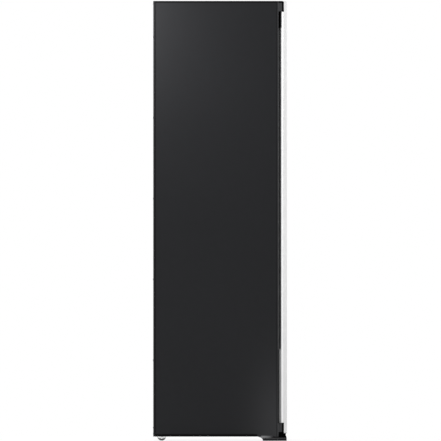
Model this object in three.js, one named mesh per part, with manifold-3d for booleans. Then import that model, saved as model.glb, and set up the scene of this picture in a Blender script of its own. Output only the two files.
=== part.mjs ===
// Clothes care steam cabinet: a tall free-standing wardrobe that steams, shakes and dries garments.
// Millimetres, +Z up. Origin at the centre of the footprint on the floor. The door faces -Y.
import * as THREE from 'three';
import Module from 'manifold-3d';
import { mergeVertices } from 'three/addons/utils/BufferGeometryUtils.js';

const wasm = await Module();
wasm.setup();

// Driving dimensions of the whole cabinet
const width = 600;
const depth = 596;
const height = 1960;
const right = width / 2;
const left = -right;
const front = -depth / 2;
const back = depth / 2;

// How many flat faces stand for a round, and how many steps for a bend
const sides = { hex: 6, tube: 8, stud: 10, rod: 12, foot: 14, pin: 16, drum: 20, disc: 24, wheel: 28 };
const reliefSides = { door: 32, rail: 40 };
const cupSides = 18;
const bends = { edge: 3, corner: 4, plinth: 5, soft: 6, curve: 8, shoulder: 10, belt: 16 };

// Shared clearances and sheet thicknesses
const gap = 0.3;
const runningGap = 0.8;
const over = 5;
const sheet = 1.6;
const linerWall = 2.5;
const edgeRound = 7;

// Depth steps between the door's face and the cabinet, read from front to back
const glassThickness = 4;
const doorTrimDepth = 10.5;
const doorShellDepth = 13;
const gasketDepth = 9.8;
const backCover = 7;
const glassBack = front + glassThickness;
const trimFront = glassBack + gap;
const trimBack = trimFront + doorTrimDepth;
const shellFront = trimBack + gap;
const shellBack = shellFront + doorShellDepth;
const gasketFront = shellBack + gap;
const cabinetFront = gasketFront + gasketDepth + gap;
const fasciaFront = trimBack + gap;
const sideBack = back - backCover;

// Height steps, from the floor up; the tanks' cells set how high the chamber starts
const plinthTop = 17;
const panelBottom = 19.3;
const doorBottom = 34.3;
const panFloor = 44;
const lowFasciaBottom = 33;
const lowFasciaTop = 79;
const bay = { inset: 38, back: -60, cellLow: 100, wall: 4, roof: 21 };
const tank = { slack: 2, frontSetback: 27, height: 250, wall: 2.5, round: 12, neck: 22, neckRise: 12 };
const headroom = 34;
const cellHigh = bay.cellLow + tank.height + headroom;
const bayTop = cellHigh + bay.roof;
const roofDepth = 120;
const fasciaHeight = 46;
const chamberTop = height - roofDepth;
const fasciaBottom = height - fasciaHeight;
const doorShellClear = 2;
const doorShellBottom = lowFasciaTop + doorShellClear;
const doorShellTop = fasciaBottom - doorShellClear;

// Door hinge line, near the right front corner
const hinge = { inset: 13, pinRadius: 3, swingRadius: 15.4, playShare: 0.125 };
const hingeX = right - hinge.inset;
const hingeY = trimFront + doorTrimDepth / 2;
const pinPlay = runningGap * hinge.playShare;

// The hinge arms reach from the cabinet's front to this line, and the lower one hangs this low
const arm = { width: 34, tail: 26, eye: 1.2, waist: 1.5 };
const lowArm = { drop: 13.8, lip: 10, topGap: 2, pocket: 6 };
const armX = [hingeX - arm.width + hinge.inset - gap, right - gap];
const eyeRadius = hinge.pinRadius + arm.eye;
const armFront = hingeY - eyeRadius;
const lowArmTop = doorBottom - runningGap - lowArm.topGap;
const lowArmLow = doorBottom - lowArm.drop;

const group = new THREE.Group();

// Colour, roughness and metalness of each finish
const finishes = {
  charcoal: { color: 0x2b2b2d, roughness: 0.45, metalness: 0.2 },
  black: { color: 0x111113, roughness: 0.5, metalness: 0.1 },
  glass: { color: 0xe6e7e6, roughness: 0.08, metalness: 0 },
  silver: { color: 0xc9cacb, roughness: 0.3, metalness: 0.8 },
  pale: { color: 0xdfe0df, roughness: 0.5, metalness: 0 },
  grey: { color: 0x8f9193, roughness: 0.55, metalness: 0 },
  rubber: { color: 0x2e2e30, roughness: 0.85, metalness: 0 },
  foam: { color: 0xe0cf9a, roughness: 0.95, metalness: 0 },
  steel: { color: 0xa9abad, roughness: 0.35, metalness: 0.9 },
  zinc: { color: 0xb7babd, roughness: 0.4, metalness: 0.9 },
  clear: { color: 0xaeb6bb, roughness: 0.15, metalness: 0 },
  copper: { color: 0xb9764a, roughness: 0.3, metalness: 0.95 },
  board: { color: 0x1f5a3a, roughness: 0.6, metalness: 0 },
  lamp: { color: 0xf5f3ea, roughness: 0.3, metalness: 0 },
};

// A closed geometry becomes a solid, with shared corners and no collapsed faces
const weld = 1e-4;
const samePoint = 1e-3;
function solidOf(geometry) {
  const bare = geometry.index ? geometry.toNonIndexed() : geometry.clone();
  bare.deleteAttribute('normal');
  bare.deleteAttribute('uv');
  const merged = mergeVertices(bare, weld);
  const corners = merged.index.array;
  const faces = [];
  for (let i = 0; i < corners.length; i += 3) {
    const [a, b, c] = [corners[i], corners[i + 1], corners[i + 2]];
    if (a !== b && b !== c && c !== a) faces.push(a, b, c);
  }
  return new wasm.Manifold(new wasm.Mesh({
    numProp: 3,
    vertProperties: new Float32Array(merged.attributes.position.array),
    triVerts: new Uint32Array(faces),
  }));
}

function geometryOf(solid) {
  const mesh = solid.getMesh();
  const geometry = new THREE.BufferGeometry();
  geometry.setAttribute('position', new THREE.BufferAttribute(mesh.vertProperties, mesh.numProp));
  geometry.setIndex(new THREE.BufferAttribute(mesh.triVerts, 1));
  return geometry;
}

function join(solids) {
  return solids.reduce((whole, piece) => whole.add(piece));
}

function cut(solid, tools) {
  return tools.reduce((rest, tool) => rest.subtract(tool), solid);
}

// A block between two corners
function block(x, y, z) {
  const geometry = new THREE.BoxGeometry(x[1] - x[0], y[1] - y[0], z[1] - z[0]);
  geometry.translate((x[0] + x[1]) / 2, (y[0] + y[1]) / 2, (z[0] + z[1]) / 2);
  return solidOf(geometry);
}

// An outline's corners, each once, so that its end doesn't repeat its start
function corners(path, steps) {
  const points = path.getPoints(steps);
  return points.filter((point, i) => point.distanceTo(points[(i + 1) % points.length]) > samePoint);
}

function prism(outline, length, steps) {
  const shape = new THREE.Shape(corners(outline, steps));
  shape.holes = outline.holes.map((hole) => new THREE.Path(corners(hole, steps)));
  return new THREE.ExtrudeGeometry(shape, { depth: length, bevelEnabled: false });
}

// An outline drawn in X and Y, standing between two heights
function upright(shape, z, steps = bends.curve) {
  const geometry = prism(shape, z[1] - z[0], steps);
  geometry.translate(0, 0, z[0]);
  return solidOf(geometry);
}

// An outline drawn in Y and Z, running between two places along X
function across(shape, x, steps = bends.curve) {
  const geometry = prism(shape, x[1] - x[0], steps);
  geometry.rotateX(Math.PI / 2);
  geometry.rotateZ(Math.PI / 2);
  geometry.translate(x[0], 0, 0);
  return solidOf(geometry);
}

// An outline drawn in X and Z, running between two places along Y
function through(shape, y, steps = bends.curve) {
  const geometry = prism(shape, y[1] - y[0], steps);
  geometry.rotateX(Math.PI / 2);
  geometry.translate(0, y[1], 0);
  return solidOf(geometry);
}

function polygon(points) {
  return new THREE.Shape(points.map(([u, v]) => new THREE.Vector2(u, v)));
}

function rectangle(u, v) {
  return polygon([[u[0], v[0]], [u[1], v[0]], [u[1], v[1]], [u[0], v[1]]]);
}

// A rectangle with round corners
function softRectangle(u, v, radius) {
  const shape = new THREE.Shape();
  shape.moveTo(u[0] + radius, v[0]);
  shape.lineTo(u[1] - radius, v[0]);
  shape.absarc(u[1] - radius, v[0] + radius, radius, -Math.PI / 2, 0);
  shape.lineTo(u[1], v[1] - radius);
  shape.absarc(u[1] - radius, v[1] - radius, radius, 0, Math.PI / 2);
  shape.lineTo(u[0] + radius, v[1]);
  shape.absarc(u[0] + radius, v[1] - radius, radius, Math.PI / 2, Math.PI);
  shape.lineTo(u[0], v[0] + radius);
  shape.absarc(u[0] + radius, v[0] + radius, radius, Math.PI, Math.PI * 1.5);
  return shape;
}

// Round bars along each axis, given the two other coordinates of the axis line
function barZ(radius, x, y, z, count = sides.disc) {
  const geometry = new THREE.CylinderGeometry(radius, radius, z[1] - z[0], count);
  geometry.rotateX(Math.PI / 2);
  geometry.translate(x, y, (z[0] + z[1]) / 2);
  return solidOf(geometry);
}

function barX(radius, x, y, z, count = sides.disc) {
  const geometry = new THREE.CylinderGeometry(radius, radius, x[1] - x[0], count);
  geometry.rotateZ(Math.PI / 2);
  geometry.translate((x[0] + x[1]) / 2, y, z);
  return solidOf(geometry);
}

function barY(radius, x, y, z, count = sides.disc) {
  const geometry = new THREE.CylinderGeometry(radius, radius, y[1] - y[0], count);
  geometry.translate(x, (y[0] + y[1]) / 2, z);
  return solidOf(geometry);
}

// A profile of [radius, height] points turned about a standing axis
function turned(points, x, y, count = sides.disc) {
  const profile = points.map(([r, z]) => new THREE.Vector2(r, z));
  const geometry = new THREE.LatheGeometry(profile, count);
  geometry.rotateX(Math.PI / 2);
  geometry.translate(x, y, 0);
  return solidOf(geometry);
}

// A round tube whose centre line runs through the given points
function pipe(radius, points, steps, count = sides.tube) {
  const path = new THREE.CatmullRomCurve3(points.map((p) => new THREE.Vector3(...p)), false, 'centripetal');
  const ring = polygon(Array.from({ length: count }, (_, i) => {
    const angle = (i / count) * Math.PI * 2;
    return [radius * Math.cos(angle), radius * Math.sin(angle)];
  }));
  const options = { steps, extrudePath: path, bevelEnabled: false };
  return solidOf(new THREE.ExtrudeGeometry(ring, options));
}

// Each finished piece is a named mesh with its own material
function add(name, solid, finish) {
  const mesh = new THREE.Mesh(geometryOf(solid), new THREE.MeshStandardMaterial(finishes[finish]));
  mesh.name = name;
  group.add(mesh);
}

// Side panels: painted sheet folded inwards at the front and at the back
const panel = { frontFlange: 14, backFlange: 10 };
const liningX = right - sheet;

function sidePanel(side) {
  const inner = right - panel.frontFlange;
  const points = [
    [side * right, cabinetFront],
    [side * right, sideBack],
    [side * (right - panel.backFlange), sideBack],
    [side * (right - panel.backFlange), sideBack - sheet],
    [side * liningX, sideBack - sheet],
    [side * liningX, cabinetFront + sheet],
    [side * inner, cabinetFront + sheet],
    [side * inner, cabinetFront],
  ];
  return upright(polygon(points), [panelBottom, height]);
}
add('side_panel_left', sidePanel(-1), 'charcoal');
add('side_panel_right', sidePanel(1), 'charcoal');

// Top panel: a shallow lid folded down at the front and back, between the side panels
const lidEdge = liningX - gap;
const lidFold = 12;
const lidBack = sideBack - sheet - gap;
const lidFront = cabinetFront + sheet + gap;
const lidShape = polygon([
  [lidFront, height],
  [lidFront, height - lidFold],
  [lidFront + sheet, height - lidFold],
  [lidFront + sheet, height - sheet],
  [lidBack - sheet, height - sheet],
  [lidBack - sheet, height - lidFold],
  [lidBack, height - lidFold],
  [lidBack, height],
]);
add('top_panel', across(lidShape, [-lidEdge, lidEdge]), 'charcoal');

// Back panel: a tray over the whole back, with pressed ribs and louvres for the machine bay
const backRim = 12;
const backPress = { ribs: 3, ribWidth: 14, ribDepth: 2, ribLow: 460, ribEnd: 80 };
const ribHigh = height - backPress.ribEnd;
const louvre = { rows: 9, length: 150, height: 5, pitch: 13, low: 130, gapFromCentre: 20 };
const inlet = { width: 48, height: 30, low: 70, inset: 100, depth: 14, wall: 2 };
const backLow = panelBottom + gap;
const backFront = sideBack + gap;
let backTray = cut(block([left, right], [backFront, back], [backLow, height]), [
  block([left + backRim, right - backRim], [backFront - over, back - sheet],
    [backLow + backRim, height - backRim]),
]);
for (let i = 0; i < backPress.ribs; i += 1) {
  const x = ((i + 1) / (backPress.ribs + 1) - 1 / 2) * (width - backRim * 2);
  const rib = [x - backPress.ribWidth / 2, x + backPress.ribWidth / 2];
  backTray = backTray.add(
    block(rib, [back - sheet - backPress.ribDepth, back - sheet / 2], [backPress.ribLow, ribHigh]));
}
for (let i = 0; i < louvre.rows; i += 1) {
  const low = louvre.low + i * louvre.pitch;
  for (const side of [-1, 1]) {
    const middle = side * (louvre.gapFromCentre + louvre.length / 2);
    const ends = [middle - louvre.length / 2, middle + louvre.length / 2];
    backTray = backTray.subtract(block(ends, [back - sheet - over, back + over], [low, low + louvre.height]));
  }
}
const inletMiddle = left + inlet.inset;
const inletX = [inletMiddle - inlet.width / 2, inletMiddle + inlet.width / 2];
const inletZ = [inlet.low, inlet.low + inlet.height];
const inletFloor = back - inlet.depth;
backTray = backTray.add(block([inletX[0] - inlet.wall, inletX[1] + inlet.wall],
  [inletFloor - inlet.wall, back - sheet / 2], [inletZ[0] - inlet.wall, inletZ[1] + inlet.wall]));
backTray = backTray.subtract(block(inletX, [inletFloor, back + over], inletZ));
add('back_panel', backTray, 'charcoal');

// Base pan: a folded steel tray that carries the machine
const panRim = 22;
const panEdge = lidEdge;
const basePan = cut(block([-panEdge, panEdge], [lidFront, lidBack], [panFloor, panFloor + panRim]), [
  block([-panEdge + sheet, panEdge - sheet], [lidFront + sheet, lidBack - sheet],
    [panFloor + sheet, panFloor + panRim + over]),
]);
add('base_pan', basePan, 'zinc');

// Fascia rails: they fill the front above and below the chamber, behind the door's face.
// The right end is hollowed out round the hinge line so that the door's corner can swing past.
const fasciaBack = cabinetFront - gap;
const cornerSweep = Math.hypot(right - hingeX, front - hingeY) + gap * 2;
const hingeRelief = (z) => barZ(cornerSweep, hingeX, hingeY, z, reliefSides.door).add(
  block([hingeX, right + over], [hingeY - over, hingeY + cornerSweep], z));
function fascia(z, shape) {
  return across(shape, [left, right]).subtract(hingeRelief([z[0] - over, z[1] + over]));
}
const topFascia = new THREE.Shape();
topFascia.moveTo(fasciaBack, fasciaBottom);
topFascia.lineTo(fasciaBack, height);
topFascia.lineTo(fasciaFront + edgeRound, height);
topFascia.absarc(fasciaFront + edgeRound, height - edgeRound, edgeRound, Math.PI / 2, Math.PI);
topFascia.lineTo(fasciaFront, fasciaBottom);
add('top_fascia', fascia([fasciaBottom, height], topFascia), 'charcoal');
const lowFascia = rectangle([fasciaFront, fasciaBack], [lowFasciaBottom, lowFasciaTop]);
// A toe lip under the bottom rail closes the gap above the plinth as far as the hinge's casting
const toeX = [left, armX[0] - gap];
const toeLow = plinthTop + gap;
const toe = block(toeX, [armFront, fasciaBack], [toeLow, lowFasciaBottom]).add(
  block(toeX, [fasciaFront, fasciaBack], [toeLow, lowFasciaBottom + edgeRound]));
add('bottom_fascia', fascia([lowFasciaBottom, lowFasciaTop], lowFascia).add(toe), 'charcoal');

// Bay deck: the shelf between the machine and the chamber
const deckThickness = 3;
const deckZ = [bayTop - deckThickness, bayTop];
const ductInset = 101;
const ductHole = { x: 0, width: 130, depth: 70, y: sideBack - ductInset };
const deckEdge = liningX - gap;
const deckFront = cabinetFront + sheet + gap;
const deckBack = sideBack - sheet - gap;
const hole = (margin, z) => block(
  [ductHole.x - ductHole.width / 2 - margin, ductHole.x + ductHole.width / 2 + margin],
  [ductHole.y - ductHole.depth / 2 - margin, ductHole.y + ductHole.depth / 2 + margin], z);

// Chamber: a drawn plastic liner, open at the front, with a flange that the door's seal lies on
const inset = { side: 48, back: 41, end: 15 };
const chamber = { halfWidth: right - inset.side, back: sideBack - inset.back, low: bayTop + inset.end };
const chamberHigh = chamberTop - inset.end;
const linerFlange = right - panel.frontFlange - gap;
const flangeBack = cabinetFront + linerWall;
const innerX = chamber.halfWidth - linerWall;
const innerBack = chamber.back - linerWall;
const floorTop = chamber.low + linerWall;
const ceiling = chamberHigh - linerWall;

// Where the moving hanger passes through the ceiling
const hangSetback = 24.75;
const hangLineY = (cabinetFront + chamber.back) / 2 + hangSetback;
const slide = { travel: 20, postX: 150, postRadius: 5, slotClear: 4 };
const slotHalfX = slide.travel + slide.postRadius + slide.slotClear;
const slotHalfY = slide.postRadius + slide.slotClear;
function postSlots(margin, z) {
  return [-1, 1].map((side) => block(
    [side * slide.postX - slotHalfX - margin, side * slide.postX + slotHalfX + margin],
    [hangLineY - slotHalfY - margin, hangLineY + slotHalfY + margin], z));
}

// Floor recesses: the lint filter and the aroma cup drop into openings of the floor
const floorInset = { front: 64.5, filter: 142, cup: 112, port: 62 };
const recessY = cabinetFront + floorInset.front;
const filterX = floorInset.filter - chamber.halfWidth;
const filter = { x: filterX, y: recessY, width: 180, depth: 66, height: 18, flange: 6 };
const cup = { x: chamber.halfWidth - floorInset.cup, y: recessY, radius: 26, flange: 5, height: 17 };
const steamPort = { x: chamber.halfWidth - floorInset.port, y: ductHole.y, radius: 14 };
const filterHole = (margin, z) => block(
  [filter.x - filter.width / 2 - margin, filter.x + filter.width / 2 + margin],
  [filter.y - filter.depth / 2 - margin, filter.y + filter.depth / 2 + margin], z);
const cupHole = (margin, z) => barZ(cup.radius + margin, cup.x, cup.y, z);
const portHole = (margin, z) => barZ(steamPort.radius + margin, steamPort.x, steamPort.y, z);

// Ledges on the side walls that carry the garment shelf
const shelf = { thickness: 14, rise: 58, setback: 109.5, ledge: 10, slots: 9, slotWidth: 14 };
const shelfClear = { back: 12, end: 2 };
const shelfLow = chamber.low + shelf.rise;
const shelfFront = cabinetFront + shelf.setback;
const shelfBack = innerBack - shelfClear.back;
const ledgeZ = [shelfLow - shelf.ledge - gap, shelfLow - gap];
function ledge(side) {
  const x = [side * innerX, side * (innerX - shelf.ledge)].sort((a, b) => a - b);
  const wall = [Math.min(x[0], x[0] - linerWall * (side < 0)), Math.max(x[1], x[1] + linerWall * (side > 0))];
  return block(side < 0 ? [wall[0], x[1]] : [x[0], wall[1]], [shelfFront, shelfBack], ledgeZ);
}

const floorBand = [chamber.low - over, floorTop + over];
const holeSlack = 1;
const shell = block([-chamber.halfWidth, chamber.halfWidth], [cabinetFront, chamber.back],
  [chamber.low, chamberHigh]);
const flange = block([-linerFlange, linerFlange], [cabinetFront, flangeBack], [bayTop + gap, chamberTop]);
const hollow = block([-innerX, innerX], [cabinetFront - over, innerBack], [floorTop, ceiling]);
const liner = cut(shell.add(flange), [
  hollow,
  ...postSlots(0, [ceiling - over, chamberHigh + over]),
  filterHole(holeSlack, floorBand),
  cupHole(holeSlack, floorBand),
  portHole(holeSlack, floorBand),
  hole(0, floorBand),
]).add(ledge(-1)).add(ledge(1));
add('chamber_liner', liner, 'pale');

// Insulation: one foamed block round the liner, with passages for air, steam, filter and hanger
const foamEdge = liningX - gap;
const cupFloorZ = bayTop + gap * 2;
const foamFront = flangeBack + gap;
const foamBox = block([-foamEdge, foamEdge], [foamFront, sideBack - sheet - gap], [bayTop + gap, chamberTop]);
const foam = cut(foamBox, [
  block([-chamber.halfWidth - gap, chamber.halfWidth + gap], [foamFront - over, chamber.back + gap],
    [chamber.low - gap, chamberHigh + gap]),
  ...postSlots(gap, [chamberHigh - over, chamberTop + over]),
  filterHole(holeSlack, [cupFloorZ, chamber.low + over]),
  cupHole(holeSlack, [cupFloorZ, chamber.low + over]),
  portHole(holeSlack, [bayTop - over, chamber.low + over]),
  hole(gap, [bayTop - over, chamber.low + over]),
]);
add('insulation_foam', foam, 'foam');

const deckBand = [deckZ[0] - over, deckZ[1] + over];
const deck = cut(block([-deckEdge, deckEdge], [deckFront, deckBack], deckZ), [
  portHole(holeSlack, deckBand),
  hole(0, deckBand),
]);
add('bay_deck', deck, 'zinc');

// Garment shelf: a slotted tray that rests on the two ledges and lifts out
const shelfEdge = innerX - shelfClear.end;
const shelfZ = [shelfLow, shelfLow + shelf.thickness];
const shelfPitch = (shelfEdge * 2) / (shelf.slots + 1);
let tray = block([-shelfEdge, shelfEdge], [shelfFront, shelfBack - gap], shelfZ);
const slotEnd = 26;
for (let i = 1; i <= shelf.slots; i += 1) {
  const x = -shelfEdge + i * shelfPitch;
  const ends = [x - shelf.slotWidth / 2, x + shelf.slotWidth / 2];
  tray = tray.subtract(block(ends, [shelfFront + slotEnd, shelfBack - slotEnd],
    [shelfLow - over, shelfZ[1] + over]));
}
const trayDip = 4;
tray = tray.subtract(block([-shelfEdge + slotEnd / 2, shelfEdge - slotEnd / 2],
  [shelfFront + slotEnd / 2, shelfBack - slotEnd / 2], [shelfZ[1] - trayDip, shelfZ[1] + over]));
add('garment_shelf', tray, 'grey');

// Lint filter: a flanged basket with a finger bridge, dropped into the floor
const filterTop = floorTop + gap + linerWall;
const basketWall = 2;
const basketX = filter.width / 2 - basketWall / 2;
const basketY = filter.depth / 2 - basketWall / 2;
const basket = cut(
  block([filter.x - basketX, filter.x + basketX], [filter.y - basketY, filter.y + basketY],
    [filterTop - filter.height, filterTop]).add(
    block([filter.x - basketX - filter.flange, filter.x + basketX + filter.flange],
      [filter.y - basketY - filter.flange, filter.y + basketY + filter.flange],
      [floorTop + gap, filterTop])),
  [block([filter.x - basketX + basketWall, filter.x + basketX - basketWall],
    [filter.y - basketY + basketWall, filter.y + basketY - basketWall],
    [filterTop - filter.height + basketWall, filterTop + over])]);
const bridge = { width: 22, thickness: 4 };
add('lint_filter', basket.add(block([filter.x - bridge.width / 2, filter.x + bridge.width / 2],
  [filter.y - basketY, filter.y + basketY], [filterTop - bridge.thickness, filterTop])), 'grey');

// Aroma cup: a small turned cup with a pinch knob in its middle
const cupTop = floorTop + gap + linerWall;
const cupWall = 2;
const cupFloor = cupTop - cup.height;
const knobRadius = 6;
const knobTop = cupTop + knobRadius;
add('aroma_cup', turned([
  [0, cupFloor], [cup.radius - cupWall, cupFloor], [cup.radius - cupWall / 2, cupFloor + cup.height / 2],
  [cup.radius - cupWall / 2, floorTop + gap], [cup.radius + cup.flange, floorTop + gap],
  [cup.radius + cup.flange, cupTop], [cup.radius - cupWall * 2, cupTop],
  [cup.radius - cupWall * 2, cupFloor + cupWall], [knobRadius / 2, cupFloor + cupWall],
  [knobRadius / 2, cupTop], [knobRadius, cupTop], [knobRadius, knobTop], [0, knobTop],
], cup.x, cup.y, cupSides), 'grey');

// Steam nozzle: a turned throat with a dome cap, standing in the floor
const nozzle = { flange: 8, rise: 16, bore: 5, wall: 4 };
const nozzleLow = deckZ[0];
add('steam_nozzle', turned([
  [nozzle.bore, nozzleLow], [steamPort.radius, nozzleLow], [steamPort.radius, floorTop + gap],
  [steamPort.radius + nozzle.flange, floorTop + gap],
  [steamPort.radius + nozzle.flange, floorTop + nozzle.wall],
  [steamPort.radius - nozzle.wall / 2, floorTop + nozzle.rise],
  [nozzle.bore, floorTop + nozzle.rise], [nozzle.bore, nozzleLow],
], steamPort.x, steamPort.y, sides.disc), 'steel');

// Air outlet grille: a slatted frame over the duct opening in the floor
const grille = { margin: 9, height: 8, slats: 10, bar: 2.4 };
const grilleX = ductHole.width / 2 + grille.margin;
const grilleY = ductHole.depth / 2 + grille.margin;
const grilleZ = [floorTop + gap, floorTop + gap + grille.height];
const grillePitch = ductHole.width / grille.slats;
let outlet = block([ductHole.x - grilleX, ductHole.x + grilleX],
  [ductHole.y - grilleY, ductHole.y + grilleY], grilleZ);
for (let i = 0; i < grille.slats; i += 1) {
  const x = ductHole.x - ductHole.width / 2 + i * grillePitch;
  outlet = outlet.subtract(block([x + grille.bar / 2, x + grillePitch - grille.bar / 2],
    [ductHole.y - ductHole.depth / 2, ductHole.y + ductHole.depth / 2],
    [grilleZ[0] - over, grilleZ[1] + over]));
}
add('air_outlet_grille', outlet, 'grey');

// Chamber lamp: a low lens on the ceiling near the door
const lamp = { length: 130, depth: 34, height: 7, setback: 54.5, round: 14 };
const lampY = cabinetFront + lamp.setback;
const lampZ = [ceiling - gap - lamp.height, ceiling - gap];
add('interior_lamp', upright(softRectangle([-lamp.length / 2, lamp.length / 2],
  [lampY - lamp.depth / 2, lampY + lamp.depth / 2], lamp.round), lampZ), 'lamp');

// Door face: a full-height glass front held in a trim frame that also covers both fascias
const faceBottom = doorBottom;
const faceTop = height - gap;
const trim = { wall: 7, cornerBlock: 30, corner: 4 };
const faceX = [left, right];
const faceOutline = softRectangle(faceX, [faceBottom, faceTop], trim.corner);
add('door_glass', through(faceOutline, [front, glassBack], bends.edge), 'glass');

// The trim is a closed frame; its right corners are solid, because the hinge pins turn in them
const bushWall = 1;
const bushRadius = hinge.pinRadius + pinPlay + bushWall;
const bushSeat = 18;
const trimInner = [left + trim.wall, right - trim.wall];
const cornerX = [right - trim.cornerBlock, right - trim.wall + gap];
const trimY = [trimFront, trimBack];
const trimPocket = (z) => barZ(bushRadius + gap, hingeX, hingeY, z);
const hingeArmThickness = 4;
const upperArmTop = fasciaBottom - gap;
const upperArmLow = upperArmTop - hingeArmThickness;
const neckWidth = 34;
const neckClear = 3;
const neckX = [hingeX - hinge.swingRadius - neckClear - neckWidth, hingeX - hinge.swingRadius - neckClear];
const upperBlock = [upperArmLow - runningGap - trim.cornerBlock, upperArmLow - runningGap];
const lowerBlock = [faceBottom, faceBottom + trim.cornerBlock];
const trimSolid = cut(
  through(faceOutline, trimY, bends.edge).subtract(
    block(trimInner, [trimFront - over, trimBack + over], [faceBottom + trim.wall, faceTop - trim.wall])).add(
    block(cornerX, trimY, lowerBlock)).add(block(cornerX, trimY, upperBlock)),
  [
    trimPocket([faceBottom - over, faceBottom + bushSeat]),
    trimPocket([upperArmLow - runningGap - bushSeat, upperArmLow]),
  ]);
add('door_trim', trimSolid, 'silver');

// Door shell: the plastic frame behind the trim, closed by the inner liner, filled with foam
const shellInset = 3;
const shellX = [left + shellInset, right - shellInset];
const shellWall = 3;
const shellZ = [doorShellBottom, doorShellTop];
const shellY = [shellFront, shellBack];
const linerPlate = 2.4;
const plateFront = shellBack - linerPlate;
const shellInnerX = [shellX[0] + shellWall, shellX[1] - shellWall];
const shellInnerZ = [shellZ[0] + shellWall, shellZ[1] - shellWall];
const shellBevel = 2.2;
const shellPlan = polygon([
  [shellX[0], shellY[0]], [shellX[1], shellY[0]], [shellX[1], shellY[1] - shellBevel],
  [shellX[1] - shellBevel, shellY[1]], [shellX[0] + shellBevel, shellY[1]],
  [shellX[0], shellY[1] - shellBevel],
]);
const neckNotch = block([neckX[0] - neckClear, right + over], [trimFront - over, shellBack + over],
  [upperArmLow - runningGap, upperArmTop + runningGap]);
add('door_frame', cut(upright(shellPlan, shellZ), [
  through(rectangle(shellInnerX, shellInnerZ), [shellFront - over, shellBack + over]),
  neckNotch,
]), 'pale');

// Door liner: a flat sheet that turns into a deeper tray opposite the water tanks
const lowTray = { top: bayTop, reach: 8, edgeX: hingeX, wall: 2.4, round: 10 };
const lowTrayX = [-lowTray.edgeX, lowTray.edgeX];
const lowTrayBack = shellBack + lowTray.reach;
const lowTrayZ = [doorShellBottom, lowTray.top - gap];
const linerX = [shellInnerX[0] + gap, shellInnerX[1] - gap];
const linerZ = [shellInnerZ[0] + gap, shellInnerZ[1] - gap];
const doorLiner = through(rectangle(linerX, linerZ), [plateFront, shellBack]).add(
  through(rectangle(lowTrayX, lowTrayZ), [shellBack + gap, lowTrayBack])).add(
  through(rectangle([lowTrayX[0] + lowTray.round, lowTrayX[1] - lowTray.round],
    [shellInnerZ[0] + lowTray.round, lowTrayZ[1] - lowTray.round]), [plateFront, lowTrayBack])).subtract(
  through(rectangle([lowTrayX[0] + lowTray.round + lowTray.wall, lowTrayX[1] - lowTray.round - lowTray.wall],
    [shellInnerZ[0] + lowTray.round + lowTray.wall, lowTrayZ[1] - lowTray.round - lowTray.wall]),
  [plateFront - over, lowTrayBack - lowTray.wall])).subtract(neckNotch);
add('door_liner', doorLiner, 'grey');

// Touch display: a small board and cover bonded behind the glass, inside the foam
const display = { width: 84, height: 240, drop: 780, depth: 7 };
const displayMiddle = height - display.drop;
const displayX = [-display.width / 2, display.width / 2];
const displayZ = [displayMiddle - display.height / 2, displayMiddle + display.height / 2];
add('control_display', through(softRectangle(displayX, displayZ, trim.corner),
  [trimFront, trimFront + display.depth], bends.edge), 'black');

// Door foam fills the trim and the shell between the glass and the liner
const foamSlack = gap;
const doorFoam = through(
  rectangle([trimInner[0] + foamSlack, right - trim.cornerBlock - foamSlack],
    [faceBottom + trim.wall + foamSlack, faceTop - trim.wall - foamSlack]), [trimFront, trimBack]).add(
  through(rectangle(linerX, linerZ), [trimBack, plateFront - gap])).subtract(
  through(rectangle([displayX[0] - gap, displayX[1] + gap], [displayZ[0] - gap, displayZ[1] + gap]),
    [trimFront - over, trimFront + display.depth + gap])).subtract(neckNotch);
add('door_foam', doorFoam, 'foam');

// Gasket: a bellows ring between the door and the chamber's flange
const seal = { inset: 1.7, width: 20, bead: 3, groove: 2.2 };
const sealX = linerFlange - seal.inset;
const sealLow = bayTop + gap * 2;
const sealHigh = chamberTop - gap;
const sealY = [gasketFront, cabinetFront - gap];
const sealMid = (sealY[0] + sealY[1]) / 2;
const sealRing = (draw, y) => {
  const outer = rectangle([-sealX + draw, sealX - draw], [sealLow + draw, sealHigh - draw]);
  outer.holes.push(rectangle([-sealX + seal.width - draw, sealX - seal.width + draw],
    [sealLow + seal.width - draw, sealHigh - seal.width + draw]));
  return through(outer, y);
};
add('door_gasket', join([
  sealRing(0, [sealY[0], sealMid - seal.groove / 2]),
  sealRing(seal.bead, [sealMid - seal.groove, sealMid + seal.groove]),
  sealRing(0, [sealMid + seal.groove / 2, sealY[1]]),
]), 'rubber');

// Hinges: a bracket under the top fascia and one under the cabinet, each with a pin for the door
const pinReach = 14;
const neck = new THREE.Shape();
neck.moveTo(neckX[0], fasciaBack);
neck.lineTo(neckX[0], armFront);
neck.lineTo(hingeX, armFront);
neck.absarc(hingeX, hingeY, eyeRadius, -Math.PI / 2, Math.PI / 2);
neck.lineTo(neckX[1], hingeY + arm.waist);
neck.lineTo(neckX[1], fasciaBack);

// The upper bracket is one black rail across the front, above the seal, with the arm on its end
const rail = { wall: 2, clear: 7 };
const railX = [-linerFlange, linerFlange];
const railY = [gasketFront + gap, cabinetFront - gap];
const railZ = [chamberTop + gap * 2, upperArmTop];
const railBody = block(railX, railY, railZ).subtract(
  block([railX[0] + rail.wall, railX[1] - rail.wall], [railY[0] + rail.wall, railY[1] + over],
    [railZ[0] + rail.wall, railZ[1] - hingeArmThickness])).subtract(
  barZ(hinge.swingRadius + rail.clear, hingeX, hingeY, [railZ[0] - over, railZ[1] + over], reliefSides.rail));
add('hinge_bracket_upper', join([
  railBody,
  upright(neck, [upperArmLow, upperArmTop]),
  barZ(hinge.pinRadius, hingeX, hingeY, [upperArmLow - pinReach, upperArmTop], sides.drum),
]), 'black');

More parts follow.
